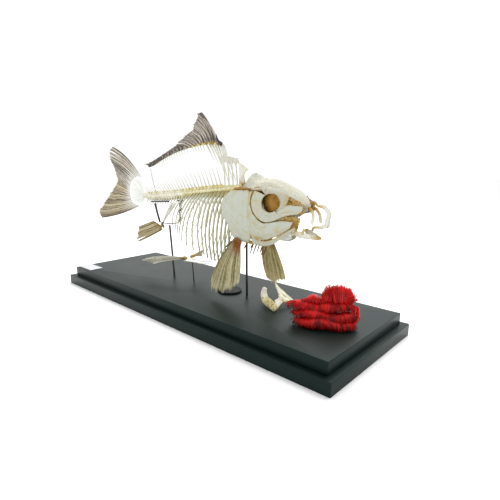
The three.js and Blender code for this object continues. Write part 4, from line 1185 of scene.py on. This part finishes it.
skull_shapes = [braincase]
for mirror in (1, -1):
    surface = brow_sheet * [1, mirror, 1]
    skull_shapes.append(shell(surface, 1.5, brow_stain))
    bowl = [(13.6, 28.6), (13.4, 25), (12.2, 20), (9, 16), (4, 13.6), (0.4, 13)]
    bowl = bowl + [(max(r - 0.3, 0.4), h - 1.2) for r, h in bowl[::-1]]
    socket = turned([ORBIT_X, 0, ORBIT_Z], [(r, mirror * h) for r, h in bowl], 72, 1)
    dip = roughness_of(*socket[0].T, 9.0)
    # The socket is brown with fat, and it also darkens by 0.01 per mm toward its back, which is painted shade
    # in the bowl.
    skull_shapes.append((*socket[:3], 0.86 + 0.14 * dip + 0.01 * (ORBIT_X - socket[0][:, 0])))
    u, v = unit_grid(60, 40)
    x, z = lerp(178, 201, u) - 3 * (v - 0.5), lerp(181, 199, v) - 6 * u
    nose = np.stack([x, mirror * 0.87 * cheek(x, z), z], axis=-1)
    pit = np.exp(-((np.hypot(x - 187, z - 193.5) / 3.2) ** 2))
    nose[..., 1] += mirror * (0.3 * np.sin(30 * u + 9 * v) - 3.0 * pit)
    skull_shapes.append(shell(nose, 1.2, 0.5 + 0.5 * pit + 0.12 * np.sin(30 * u + 9 * v)))
    t = np.linspace(0, 1, 40)
    hoop = spline([[186, 19.5, 196.6], [193, 16.5, 191.6], [199.5, 14.2, 189.4], [203, 12.2, 184],
                   [201.6, 12.4, 177.4]], t)
    skull_shapes.append(tubes(hoop * [1, mirror, 1], 1.1, 2.1 + 0.25 * np.sin(60 * t), (0, 1, 0), 12,
                              0.5 + 0.14 * np.sin(60 * t)))
make_piece("skull_braincase", skull_bone, ["neurocranium"], skull_shapes)

# ---- Gill covers and cheek bones -----------------------------------------------------------------
# Smooth thin plates that lie on one bowed surface. They are cool white, with growth lines and low
# ridges, and their rims and seams are brown.

plate_bone = dry_bone(
    "plate_bone",
    [(0.49, 0.52, 0.455), (0.47, 0.42, 0.24), (0.33, 0.18, 0.025), (0.09, 0.04, 0.008)],
    grain=500,
    relief=0.00018,
    roughness=0.5,
)


def cheek_grid(lower, upper, columns, rows, depth=1.0):
    """The grid of a plate between two curves of (x, z) places, on the cheek's surface times depth."""
    u, v = unit_grid(columns, rows)
    at = lerp(spline(lower, u), spline(upper, u), v[..., None])
    x, z = at[..., 0], at[..., 1]
    return u, v, np.stack([x, depth * cheek(x, z), z], axis=-1)


def rim_distance(surface):
    """Distance in mm from each point of a grid to the nearest of its four edges, measured along the
    grid's own lines."""
    across = np.linalg.norm(np.diff(surface, axis=1), axis=-1)
    down = np.linalg.norm(np.diff(surface, axis=0), axis=-1)
    left = np.concatenate([np.zeros((len(surface), 1)), np.cumsum(across, axis=1)], axis=1)
    low = np.concatenate([np.zeros((1, surface.shape[1])), np.cumsum(down, axis=0)], axis=0)
    return np.minimum(np.minimum(left, left[:, -1:] - left), np.minimum(low, low[-1:] - low))


def both_sides(name, material, surface, thickness, stain, extra=None, left_share=1.0):
    """The right and the left plate of a pair, mirrored in the fish's own plane. The left one is
    broken off after left_share of its length."""
    for letter, mirror in (("R", -1), ("L", 1)):
        kept = surface.shape[1] if mirror < 0 else int(round(left_share * surface.shape[1]))
        shapes = [shell(surface[:, :kept] * [1, mirror, 1], thickness, stain[:, :kept])]
        if extra:
            shapes += extra(mirror)
        make_piece(f"{name}_{letter}_bone", material, [f"{name}_{letter}"], shapes)


u, v, surface = cheek_grid(
    [[93, 204.5], [78, 192], [73.5, 180], [74.5, 167], [84, 156], [88, 145], [93, 136], [108, 131],
     [122, 131.5]],
    [[108, 205], [118, 205], [128, 204.5], [130, 190], [128.8, 180], [128.4, 165], [128.4, 155],
     [128.6, 145], [128.8, 137]],
    120, 70,
)
hinge = np.hypot(surface[..., 0] - 126, surface[..., 2] - 201)
fan = np.arctan2(201 - surface[..., 2], 126 - surface[..., 0])
strut = np.exp(-(((surface[..., 0] - 118.5 - 0.02 * (surface[..., 2] - 170)) / 1.4) ** 2))
growth = 0.16 * np.sin(hinge * 0.9 + 1.2 * np.sin(3 * fan)) * smooth(hinge, 10, 40)
rays = 0.14 * np.sin(26 * fan) * smooth(hinge, 8, 30) * (1 - smooth(hinge, 55, 75))
ear = np.exp(-((np.hypot((surface[..., 0] - 86.5) * 1.1, surface[..., 2] - 194) - 3.4) / 0.7) ** 2)
ear = ear * (surface[..., 2] - surface[..., 0] > 104.5)
surface[..., 1] += growth + rays + 0.7 * strut + 0.5 * ear
edge_mm = rim_distance(surface)
opercle_stain = (
    0.02 + 0.2 * np.exp(-edge_mm / 0.9) + 0.1 * strut + 0.24 * ear
    + 0.08 * np.exp(-((surface[..., 0] - 128.4) / 1.4) ** 2) + 0.1 * smooth(surface[..., 2], 200, 205)
    + 0.3 * np.clip(growth, 0, 1)
    + 0.08 * roughness_of(*np.moveaxis(surface, -1, 0), 17.0) * smooth(150 - surface[..., 2], -40, 10)
)
both_sides("opercle", plate_bone, surface, 1.4, opercle_stain)

u, v, surface = cheek_grid(
    [[129.4, 204], [129.6, 190], [128.4, 172], [127.6, 150], [131, 139.5], [146, 137.6], [160, 140.5],
     [174, 147.5], [189, 158]],
    [[133.4, 204], [131.6, 194], [132, 184], [138.6, 171.4], [149.5, 162.6], [158, 162.6], [167, 164.4],
     [178, 166.5], [192, 166]],
    130, 40,
)
canal = np.exp(-(((v - 0.36) / 0.1) ** 2)) * smooth(u, 0.15, 0.35)
ribbing = 0.14 * np.sin(64 * u) * np.exp(-v / 0.3) * smooth(u, 0.3, 0.45)
folds = np.sin(0.85 * surface[..., 0] + 1.4 * np.sin(0.06 * surface[..., 2]))
folds = folds * (1 - smooth(surface[..., 0], 142, 156))
surface[..., 1] += 0.8 * canal + ribbing + 0.5 * folds * smooth(u, 0.1, 0.3)
edge_mm = rim_distance(surface)
preopercle_stain_and_shade = 0.05 + 0.24 * np.exp(-edge_mm / 0.8) + 0.04 * canal + 0.08 * (1 - smooth(u, 0.1, 0.3)) * v
preopercle_stain_and_shade += 0.06 * roughness_of(*np.moveaxis(surface, -1, 0), 13.0)
# The first term darkens the sunk parts of the folds, which is painted shade. The second is the brown seam
# along the front of the lower edge.
preopercle_stain_and_shade += 0.05 * np.clip(-folds, 0, 1) + 0.3 * np.exp(-v / 0.08) * smooth(u, 0.62, 0.8)
for row, first, last in ((0.4, 0.16, 0.5), (0.62, 0.2, 0.62), (0.82, 0.28, 0.7)):
    line = np.exp(-(((v - row - 0.06 * np.sin(7 * u + 9 * row)) / 0.022) ** 2))
    preopercle_stain_and_shade += 0.26 * line * smooth(u, first, first + 0.08) * (1 - smooth(u, last - 0.1, last))
# A grey-brown band along the lower edge, above the interopercle, is painted shadow.
painted_shadow_band = 0.34 * np.exp(-(((v - 0.12) / 0.1) ** 2))
preopercle_stain_and_shade += painted_shadow_band * smooth(u, 0.4, 0.5) * (1 - smooth(u, 0.62, 0.72))
both_sides("preopercle", plate_bone, surface, 1.4, preopercle_stain_and_shade, left_share=0.8)

u, v, surface = cheek_grid(
    [[129, 129.6], [137, 128.5], [148, 128.2], [160, 131.5], [170, 137.5], [180, 145], [195, 156]],
    [[130, 143], [136, 138.4], [148, 136.4], [160, 139.2], [173, 145.8], [183, 152.4], [194, 160]],
    90, 20, 0.97,
)
surface[..., 1] += 0.4 * np.sin(math.pi * v)
# Brown rims, and a darkening toward the upper edge that is painted shadow under the edge of the preopercle.
interopercle_stain_and_shadow = 0.06 + 0.3 * np.exp(-rim_distance(surface) / 0.7) + 0.35 * v**2 * smooth(u, 0.1, 0.3)
both_sides("interopercle", plate_bone, surface, 1.2, interopercle_stain_and_shadow, left_share=0.62)

u, v = unit_grid(110, 30)
lower = spline([[137.6, 205.5], [132.8, 195], [133, 185], [137.8, 174], [146, 166.2], [156, 163.4],
                [167, 166], [176.5, 170.5]], u)
ring_xz = lerp(lower, eye_rim(lerp(122, 306, u)), v[..., None])
ring_y = 0.985 * cheek(ring_xz[..., 0], ring_xz[..., 1])
surface = np.stack([ring_xz[..., 0], ring_y, ring_xz[..., 1]], axis=-1)
surface[..., 1] += 1.1 * np.exp(-(((v - 0.8) / 0.16) ** 2)) + 0.2 * np.sin(40 * u) * (1 - v)
surface[..., 1] += 0.4 * roughness_of(*np.moveaxis(surface, -1, 0), 11.0) * np.sin(math.pi * v)
joints = sum(np.exp(-(((u - at) / 0.006) ** 2)) for at in (0.22, 0.55, 0.83))
ring_stain = (
    0.06 + 0.28 * np.exp(-rim_distance(surface) / 0.8) * (1 - smooth(u, 0.9, 0.97)) + 0.12 * joints
    + 0.11 * np.clip(roughness_of(*np.moveaxis(surface, -1, 0), 6.0), -0.5, 1.2)
)
ring_stain += 0.45 * np.exp(-v / 0.05) * smooth(u, 0.1, 0.3) * (1 - smooth(u, 0.45, 0.6))
both_sides("infraorbitals", plate_bone, surface, 1.3, ring_stain)

u, v, surface = cheek_grid(
    [[174.6, 170.2], [182, 173], [190, 174.8], [198, 176.5], [203, 181], [203.6, 187]],
    [[168.4, 178], [174.5, 183], [180, 187], [187, 188.4], [193, 187.6], [198.6, 187.4]],
    80, 26, 0.96,
)
folds = 0.8 * np.sin(10 * v + 3 * u) * smooth(u, 0.0, 0.2) * (1 - u)
surface[..., 1] += folds + 0.9 * np.sin(math.pi * v) * np.sin(math.pi * u)
lachrymal_stain_and_shade = 0.04 + 0.55 * np.exp(-rim_distance(surface) / 0.7) * smooth(u, 0.02, 0.2)
# The sunk parts of the folds are darker, which is painted shade in the creases.
lachrymal_stain_and_shade = lachrymal_stain_and_shade + 0.3 * np.clip(-folds, 0, 1)
both_sides("lachrymal", plate_bone, surface, 1.3, lachrymal_stain_and_shade)

# ---- Palate, jaws and throat ---------------------------------------------------------------------
# Inside the cheek hang the brown, greasy bones of the palate. The jaws are small toothless hooks, pushed
# forward, white at the edges and orange-brown where sinew dried on them.

stained_bone = dry_bone(
    "stained_bone",
    [(0.52, 0.51, 0.4), (0.46, 0.36, 0.15), (0.33, 0.17, 0.025), (0.11, 0.045, 0.008)],
    grain=600,
    relief=0.0004,
    roughness=0.42,
)
u, v, surface = cheek_grid(
    [[137, 198], [134, 182], [138, 164], [150, 158], [165, 156.5], [180, 156], [189, 154.5], [196, 154.5]],
    [[146, 196], [147, 182], [151, 176], [158, 172], [168, 171], [180, 173], [191, 173], [200, 169.5]],
    100, 34, 0.82,
)
surface[..., 1] += 0.9 * roughness_of(*np.moveaxis(surface, -1, 0), 14.0) * np.sin(math.pi * v)
palate_stain = 0.5 - 0.2 * np.exp(-rim_distance(surface) / 1.2) + 0.1 * np.sin(9 * u)
palate_stain += 0.22 * np.clip(roughness_of(*np.moveaxis(surface, -1, 0), 6.0), -0.6, 1)
spot = np.exp(-((np.hypot(surface[..., 0] - 196, surface[..., 2] - 159) / 2.0) ** 2))

# The hyomandibular is a flat strut that fills the space between the gill cover and the cheek.
_, strut_v, strut_surface = cheek_grid(
    [[124, 204], [124, 186], [124, 165], [124, 146], [126, 136]],
    [[140, 204.5], [139, 188], [142, 172], [141, 150], [137, 136]],
    70, 16, 0.945,
)
strut_stain = 0.22 + 0.16 * np.sin(math.pi * strut_v) + 0.14 * smooth(strut_surface[..., 2], 185, 200)
for letter, mirror in (("R", -1), ("L", 1)):
    # The left piece is seen from inside, where it lies in shade. It takes the whitest bone and a much paler
    # front: painted light that offsets the shade.
    kept = 100 if mirror < 0 else 62
    pale_front = (0.06 if mirror < 0 else 0.5) * smooth(u, 0.5, 0.7)
    side_stain = palate_stain - pale_front + 0.4 * spot * (mirror < 0)
    bone = stained_bone if mirror < 0 else white_bone
    make_piece(f"suspensorium_{letter}_bone", bone, [f"suspensorium_{letter}"], [
        shell((surface * [1, mirror, 1])[:, :kept], 2.0, side_stain[:, :kept]),
        shell(strut_surface * [1, mirror, 1], 1.2, strut_stain),
    ])


def mirrored(points, mirror):
    """The same places on the side of mirror: -1 for the right and 1 for the left."""
    return np.array(points, float) * [1, mirror, 1]


def bar(points, width, depth, stain, steps=40, sides=16, rough=0.0, across=(0, 1, 0.01)):
    """A bone bar along a curve through points. width and depth are lists of half-sizes, and stain a
    list of values, each read evenly along the bar; rough adds uneven relief of that height."""
    t = np.linspace(0, 1, steps)

    def read(values):
        return np.interp(t, np.linspace(0, 1, len(values)), values)

    cap = np.sqrt(np.clip(1 - (1 - np.clip(np.minimum(t, 1 - t) * steps / 3, 0, 1)) ** 2, 0.04, 1))
    shape = tubes(spline(points, t), read(width) * cap, read(depth) * cap, across, sides, read(stain)[None])
    moved = shape[0] + rough * roughness_of(*shape[0].T, 3.5)[:, None] * unit(shape[0] - shape[0].mean(0))
    return moved, shape[1], shape[2], shape[3][0] + 0.08 * np.clip(roughness_of(*shape[0].T, 4.0), -1, 1)


jaw_bone = dry_bone(
    "jaw_bone",
    [(0.72, 0.73, 0.66), (0.55, 0.46, 0.22), (0.38, 0.2, 0.03), (0.1, 0.035, 0.008)],
    roughness=0.45,
)
for letter, mirror in (("R", -1), ("L", 1)):
    make_piece(f"lower_jaw_{letter}_bone", jaw_bone, [f"lower_jaw_{letter}"], [
        bar(mirrored([[189, 13.6, 151.4], [199, 11.4, 148.6], [210, 7, 146.6], [223.4, 2.3, 144.2]], mirror),
            [1.2, 1.3, 1.0, 0.9], [3.2, 4.6, 3.6, 1.6], [0.3, 0.04, 0.03, 0.6], rough=0.25),
        bar(mirrored([[200, 11.8, 149], [203, 11.4, 153], [204.5, 11.4, 158]], mirror),
            [1.1, 0.7], [2.8, 1.4], [0.15, 0.4], rough=0.15),
    ])
    make_piece(f"premaxilla_{letter}_bone", jaw_bone, [f"premaxilla_{letter}"], [
        bar(mirrored([[217, 1.9, 188], [227, 1.9, 186], [234.4, 2, 178.6], [232.8, 2.4, 170],
                      [231.6, 4, 162.4], [224, 9, 161], [218, 11, 160.8]], mirror),
            [1.0, 1.2, 1.3, 1.1, 1.0], [1.6, 2.4, 2.7, 2.2, 1.6], [0.5, 0.0, 0.0, 0.1, 0.5], 60, rough=0.3),
    ])
    make_piece(f"maxilla_{letter}_bone", jaw_bone, [f"maxilla_{letter}"], [
        bar(mirrored([[205.6, 5.6, 184.5], [212, 6.4, 181.4], [216, 7.6, 175], [216, 9.6, 168],
                      [216.6, 10.6, 163.6]], mirror),
            [1.1, 1.0, 0.9], [2.4, 2.4, 2.6, 2.2], [0.75, 0.3, 0.03, 0.0], rough=0.25),
    ])
make_piece("kinethmoid_bone", stained_bone, ["kinethmoid"], [
    bar([[206.4, 0, 190.6], [212, 0, 191.4], [216.4, 0, 188.4]], [2.6, 1.6], [2.4, 1.7], [0.7, 0.6, 0.3],
        rough=0.3),
])

# The hyoid bars run back inside the jaws with four rays on each, and the urohyal hangs between.
hyoid = []
for mirror in (-1, 1):
    arm = [[178, mirror * 3, 146], [160, mirror * 10, 144], [140, mirror * 17, 147], [122, mirror * 21, 152]]
    hyoid.append(bar(arm, [1.5, 1.6], [2.8, 3.6, 4.0], [0.0, 0.06, 0.3], rough=0.2))
    for share, foot_x, foot_z, out in (
        (0.98, 91, 112, 9),
        (0.86, 105, 107.5, 9),
        (0.7, 110.4, 106.5, 9),
        (0.56, 123, 107.5, 4),
    ):
        start = spline(arm, share)
        ray = [start, [lerp(start[0], foot_x, 0.6), mirror * out, 130], [foot_x, mirror * (out - 1), foot_z]]
        hyoid.append(bar(ray, [0.9, 0.6], [1.8, 1.6, 0.8], [0.4, 0.75, 0.95], sides=10))
u, v = unit_grid(60, 20)
low_edge = 139 - 5 * 4 * u * (1 - u)
urohyal = xyz(lerp(148, 176, u), 0.3 * np.sin(7 * u), lerp(low_edge, 146, v))
hyoid.append(shell(urohyal, 1.4, -0.05 + 0.3 * np.exp(-rim_distance(urohyal) / 0.8)))
hyoid.append(bar([[168, 0, 147.6], [174, 0, 149.4], [180, 0, 151.4]], [3.6, 3.4], [2.4, 2.0], [0.0, 0.1],
                 rough=0.2))
# The hyoid takes the whitest bone, which makes it paler to offset the shade it hangs in inside the jaws:
# painted light.
make_piece("hyoid_bones", white_bone, ["hyoid_arch"], hyoid)

# ---- Shoulder and pectoral fins ------------------------------------------------------------------
# The cleithrum is a stout brown bar that curves down behind the gill cover, glued to the skull above
# and to its fellow below. Each carries a dried fin on brown knuckles.

CLEITHRUM_BEND = ((94, 203), (87, 180), (90, 154), (101, 137))
for letter, mirror in (("R", -1), ("L", 1)):
    inside = [[x, mirror * 0.86 * float(cheek(x, z)), z] for x, z in CLEITHRUM_BEND]
    make_piece(f"cleithrum_{letter}_bone", stained_bone, [f"cleithrum_{letter}"], [
        bar([[132, mirror * 35, 207.6], [108, mirror * 33.5, 207.2], *inside, [116, mirror * 23, 130.5],
             [128, mirror * 13, 128.5], [137, mirror * 2.4, 128]],
            [1.0, 1.2, 1.1], [1.5, 3.0, 3.4, 2.0], [0.72, 0.5, 0.26, 0.3, 0.45, 0.45], 90, rough=0.2),
    ])

pectoral_fin = fin_material("pectoral_fin", (0.09, 0.07, 0.024), (0.35, 0.305, 0.145), (0.56, 0.53, 0.34),
                            (0.2, 0.062, 0.002))
# The left fin lies in shade, and its material is a paler, yellower copy of the right one's: painted light
# that offsets the shade.
shade_lifted_pectoral = fin_material("shade_lifted_pectoral", (0.16, 0.12, 0.036), (0.58, 0.49, 0.21), (0.76, 0.69, 0.4),
                               (0.22, 0.09, 0.006))


def stained_root(u, v):
    """The knuckle's orange-brown reaches farthest down the middle rays."""
    reach = 0.06 + 0.2 * smooth(u, 0.3, 0.75) + 0.03 * np.sin(50 * u)
    return 1.1 * np.exp(-((v / reach) ** 3))


def pectoral_shade(u, v):
    """Dark streaks beside the leading edge, and pale frayed tips."""
    streak = -0.5 * np.exp(-(((u - 0.1) / 0.12) ** 2)) * (1 - v) * smooth(v, 0.1, 0.25)
    return streak + 0.3 * smooth(v, 0.7, 1.0)


PECTORAL = {
    "R": (
        [[98, -35, 133], [104, -36, 133.6], [111, -35, 130]],
        [[47, -37, 56], [49, -37, 42.6], [68, -37, 43.6], [92, -37, 52], [111, -37, 68]],
        (-9, 1, 0, 0),
    ),
    "L": (
        [[95, 35, 130], [104, 36, 131], [112, 35, 128]],
        [[98, 37, 68], [104, 37, 57], [115, 37, 51], [128, 37, 56], [142, 37, 62]],
        (-6, 2, 2, 2),
    ),
}
for letter, (root, tip, arch) in PECTORAL.items():
    mirror = -1 if letter == "R" else 1
    # The left fin takes the paler copy, which is painted light.
    skin = pectoral_fin if letter == "R" else shade_lifted_pectoral
    t = np.linspace(0, 1, 24)
    round_off = rounded(t)
    gold = np.stack([0.3 + 0 * t, 0.95 + 0 * t])[:, None]
    make_piece(f"pectoral_fin_{letter}_dried", skin, [f"pectoral_fin_{letter}"], [
        fin_shape(root, tip, 19, bowed(arch[:2], arch[2:]), 70 + mirror, 0, 1, 0, 1.1, 0.7, 0.07, 0.5,
                  pectoral_shade, stained_root, rough=0.34),
        tubes(spline(mirrored([[95, 34, 132.6], [104, 35.2, 133.4], [113, 34.4, 129]], mirror), t),
              2.0 * round_off, 2.6 * round_off, (0, 1, 0), 14, gold),
        tubes(spline(mirrored([[98, 35, 132], [90, 35.6, 126.5], [81, 36, 119]], mirror), t),
              1.1 * round_off, 2.0 * round_off, (0, 1, 0), 12, -0.3),
    ])

# ---- Supraneural bones ---------------------------------------------------------------------------
# The first is a tall plate with a spread head, behind the skull. The heads of the next four are joined
# by one thin roof. They are bleached bone, glued to the column; the tall plate is painted paler still, to
# offset the shade on its near face.

u, v = unit_grid(60, 14)
band_low = spline([[37, 0, 247.5], [47, 0, 245.5], [58, 0, 245.5], [67, 0, 244], [73, 0, 242]], u)
band_high = spline([[35, 0, 254.5], [47, 0, 254], [58, 0, 252.6], [68, 0, 250], [75, 0, 246.5]], u)
band_low[..., 2] += 1.6 * np.sin(4.6 * 2 * math.pi * u)
band = lerp(band_low, band_high, v[..., None]) + [0, 0.5, 0]
make_piece("supraneural_roof", spine_bone, [], [
    shell(band, 1.1, 0.05 + 0.15 * np.exp(-v / 0.2)),
])

u, v = np.meshgrid(np.linspace(-1, 1, 26), np.linspace(0, 1, 50))
spread = lerp(5.0, 10.4, np.clip(2 * v - 1, 0, 1) ** 1.3) + 1.6 * (1 - v) ** 4
plate_grid = xyz(
    82.4 - 2.4 * np.sin(math.pi * v) + 1.6 * v + spread * u,
    0.4 * np.sin(5 * v + 2 * u),
    lerp(211.5, 239.6, v) - 5.5 * u * v**3,
)
plate_stain = 0.14 + 0.25 * np.exp(-rim_distance(plate_grid) / 0.8) + 0.4 * np.exp(-v / 0.2)
# The plate takes the whitest bone: painted light that offsets the shade on its near face.
make_piece("supraneural_plate_bone", white_bone, ["supraneural_plate"], [
    shell(plate_grid, lerp(2.2, 1.3, v), plate_stain),
])

# ---- Throat teeth --------------------------------------------------------------------------------
# The two pharyngeal bones lie beside the fish: a heavy crescent and a broad plate that rises to a
# spike. Carp grind with them, so they are dense, pitted bone. They lie loose on the board.

throat_bone = dry_bone(
    "throat_bone",
    [(0.82, 0.82, 0.7), (0.64, 0.58, 0.3), (0.35, 0.24, 0.04), (0.12, 0.06, 0.015)],
    grain=500,
    relief=0.0005,
)
sickle = bar([[168, -21.4, 38.4], [160.5, -17.8, 39.6], [149.5, -13.4, 41], [136.5, -8, 43],
              [129.6, -3, 49.6], [128, 1, 58]],
             [1.6, 2.4, 2.8, 2.4, 2.0], [4.2, 5.8, 6.4, 5.2, 3.0], [0.22, 0.3, 0.34, 0.2, 0.02, 0.0],
             90, 28, 0.4, (0.6, -0.75, 0.2))
pits = 0.4 * np.clip(roughness_of(*sickle[0].T, 9.0) - 0.2, 0, 1) * (sickle[0][:, 2] < 48)
make_piece("pharyngeal_R_bone", throat_bone, ["pharyngeal_R"], [(*sickle[:3], sickle[3] + pits)])
arch_edge = [[166.8, -18.6, 36], [165, -10, 40], [165.4, -2, 43.4], [167.4, 10, 41], [168.6, 23.6, 35.6]]
spike_edge = [[158, -12.6, 48], [157, -3, 48.6], [153, 5, 54], [142, 8, 66], [149.6, 12.6, 57.4],
              [158.4, 17.6, 48], [167.4, 23.4, 38.4]]
u, v = unit_grid(100, 44)
plate_grid = lerp(spline(arch_edge, u), spline(spike_edge, u), v[..., None])
streak = (0.6 * np.sin(15 * v + 7 * u) + 0.4 * np.sin(34 * u + 3 * v)) * smooth(u, 0.08, 0.3)
plate_grid += np.array([0.77, -0.3, 0.56]) * (0.9 * streak)[..., None]
plate_stain = 0.04 + 0.6 * np.clip(-streak, 0, 1) + 0.12 * np.exp(-rim_distance(plate_grid) / 0.8)
make_piece("pharyngeal_L_bone", throat_bone, ["pharyngeal_L"], [
    shell(plate_grid, 2.2, plate_stain),
])

# ---- Gills ---------------------------------------------------------------------------------------
# Four gill arches, dyed crimson and stacked. Each is a thin curved bar with two close rows of soft
# filaments that lie over each other like the pages of a book; the last stands up like a brush.

dyed_gill, tree, principled = shader("dyed_gill", (0.42, 0.004, 0.008), 0.36)
# The stain attribute darkens the crimson toward the creases between the layers, which is painted shade, and
# the noise adds tone.
depth = shaded(tree, "ShaderNodeAttribute", attribute_name="stain")
shade = added(tree, depth.outputs["Fac"], ranged(tree, cloudiness(tree, 90, 5), 0.3, 0.7, -0.3, 0.3), True)
colours = shaded(tree, "ShaderNodeMix", data_type="RGBA")
colours.inputs["A"].default_value = (0.68, 0.008, 0.007, 1)
colours.inputs["B"].default_value = (0.05, 0.0004, 0.0008, 1)
tree.links.new(shade, colours.inputs["Factor"])
tree.links.new(colours.outputs["Result"], principled.inputs["Base Color"])
principled.inputs["IOR"].default_value = 1.32
raised(tree, principled, cloudiness(tree, 1100, 3), 0.0003)

GILL_X, GILL_Y, GILL_FLOOR = 242.0, -6.0, DECK + 0.3
ALONG, TOWARD = np.array([0.86, 0.51, 0.0]), np.array([0.51, -0.86, 0.0])


def gill(start, end, near_start, near_end, bulge, depth, base, height, count, seed, upright=False):
    """One arch: a soft folded core, and count filaments. The core is an ellipse of depth by height
    that thins to both ends and wavers. Each filament follows that ellipse from the back over the top
    and down the near face, stands off it toward its tip, and turns outward with the ends of the arch.
    An upright arch's filaments rise from the foot of the core and fan out."""
    random = np.random.default_rng(seed)
    up = np.array([0.0, 0, 1])

    def centre(t):
        taper = 0.34 + 0.66 * np.clip(4 * t * (1 - t), 0, 1) ** 0.4
        place = np.array([GILL_X, GILL_Y, GILL_FLOOR]) + lerp(start, end, t)[..., None] * ALONG
        near = lerp(near_start, near_end, t) + bulge * 4 * t * (1 - t) + 1.3 * np.sin(11 * t + seed)
        rise = base + height + 1.5 * np.sin(8 * t + 1.7 * seed)
        return place + near[..., None] * TOWARD + up * rise[..., None], taper

    t = np.linspace(0.0, 1.0, 260)
    spine, taper = centre(t)
    pleats = 1 + 0.05 * np.sin(150 * t + 3 * np.sin(13 * t)) + 0.07 * np.sin(31 * t + seed)
    patches = np.interp(t, np.linspace(0, 1, 90), random.standard_normal(90))
    shapes = [tubes(spine, height * taper * pleats, 0.92 * depth * taper * pleats, (0, 0, 1), 28,
                    np.clip(0.4 + 0.3 * patches, 0, 1))]
    t = (np.arange(count) + random.random(count)) / count
    place, taper = centre(t)
    way = np.linspace(0, 1, 7)[None]
    turn = 1.25 * (2 * t - 1) ** 3 + 0.16 * random.standard_normal(count)
    heading = np.cos(turn)[:, None] * TOWARD + np.sin(turn)[:, None] * ALONG
    if upright:
        out = depth * taper * random.uniform(-0.9, 1.0, count)
        rise = height * taper * (1.15 + 1.3 * random.random(count) ** 1.7) * lerp(1.16, 0.74, t)
        fan = 2.5 + (2 * t - 1) ** 3 * 3 + 2.6 * random.standard_normal(count)
        curl = random.uniform(-0.4, 3.2, count)
        paths = (place - up * (0.95 * height * taper)[:, None])[:, None]
        paths = paths + TOWARD * (out[:, None] * (0.5 + 0.5 * way))[..., None]
        paths = paths + up * (rise[:, None] * way)[..., None]
        paths = paths + ALONG * (fan[:, None] * way**1.6 - curl[:, None] * np.sin(math.pi * way))[..., None]
    else:
        first = random.uniform(60, 150, count)[:, None]
        swing = np.radians(first - random.uniform(90, 190, count)[:, None] * way)
        off = 0.96 + random.uniform(0.05, 0.6, count)[:, None] ** 1.5 * way**2
        aside = off * (depth * taper)[:, None] * np.cos(swing)
        paths = place[:, None] + heading[:, None] * aside[..., None]
        paths = paths + up * (off * (height * taper)[:, None] * np.sin(swing))[..., None]
        drift = (1.9 * random.standard_normal(count) + 4 * (2 * t - 1) ** 3)[:, None] * way
        paths = paths + ALONG * drift[..., None]
        paths[..., 2] -= random.uniform(0, 3.6, count)[:, None] ** 1.3 * way**3
    paths[..., 2] = np.maximum(paths[..., 2], GILL_FLOOR + 0.6)
    clumps = np.interp(t, np.linspace(0, 1, 24), random.standard_normal(24))
    # Filaments darken toward their tips, which tuck into the crease under each layer, and an upright arch's
    # filaments darken toward its foot: painted shade. The random part is tone.
    crease_shade = 0.3 + 0.4 * smooth(way, 0.5, 1) if not upright else 0.8 * (1 - way)
    deep = np.clip(crease_shade + (0.17 * random.standard_normal(count) + 0.17 * clumps)[:, None], 0, 1)
    thin = (0.52 if upright else 0.62) * (1 - 0.7 * way)
    shapes.append(tubes(paths, thin, 1.15 * thin, ALONG, 5, deep))
    for points, *_ in shapes:
        points[:, 2] = np.maximum(points[:, 2], GILL_FLOOR)
    return shapes


GILLS = (
    (-35, 27, 9, 14, 5.5, 12, 0, 6.4, 460, False),
    (-38, 31, 2, 8, 6, 11, 8.6, 6.0, 460, False),
    (-46, 31, 0, 3, 3, 10, 17.4, 6.4, 460, False),
    (-5, 31, -1, 2, 0, 8, 24, 13.4, 800, True),
)
LUMP = (-29, -4, 1, 1, 0, 7, 26, 5.4, 110, False)
for i, arch in enumerate(GILLS):
    shapes = gill(*arch[:-1], 80 + i, arch[-1])
    if i == 2:
        shapes += gill(*LUMP[:-1], 95, LUMP[-1])
    make_piece(f"gill_arch_{i + 1}_filaments", dyed_gill, [f"gill_arch_{i + 1}"], shapes)
random = np.random.default_rng(90)
count = 90
t, way = np.linspace(0, 1, 30), np.linspace(0, 1, 8)[None]
leaf = spline([[275.4, 1.2, 38.4], [279.4, 6.8, 48], [277.4, 10.2, 61]], t)
foot = xyz(random.uniform(270, 277, count), random.uniform(-3, 6, count), 36.0)
head = foot + xyz(random.uniform(-2, 4, count), random.uniform(2, 8, count), random.uniform(14, 27, count))
strands = lerp(foot[:, None], head[:, None], way[..., None])
strands[..., 0] += 2.4 * np.sin(math.pi * way) * random.uniform(0.3, 1, count)[:, None]
make_piece("gill_leaf_filaments", dyed_gill, ["gill_leaf"], [
    tubes(leaf, lerp(2.8, 1.4, t), lerp(7.4, 3.4, t), (0.8, 0.5, 0), 16, 0.35),
    # The strands are darker toward their feet on the board, which is painted shade.
    tubes(strands, 0.8 * (1 - 0.6 * way), 0.8 * (1 - 0.6 * way), ALONG, 5, 0.7 * (1 - way)),
])
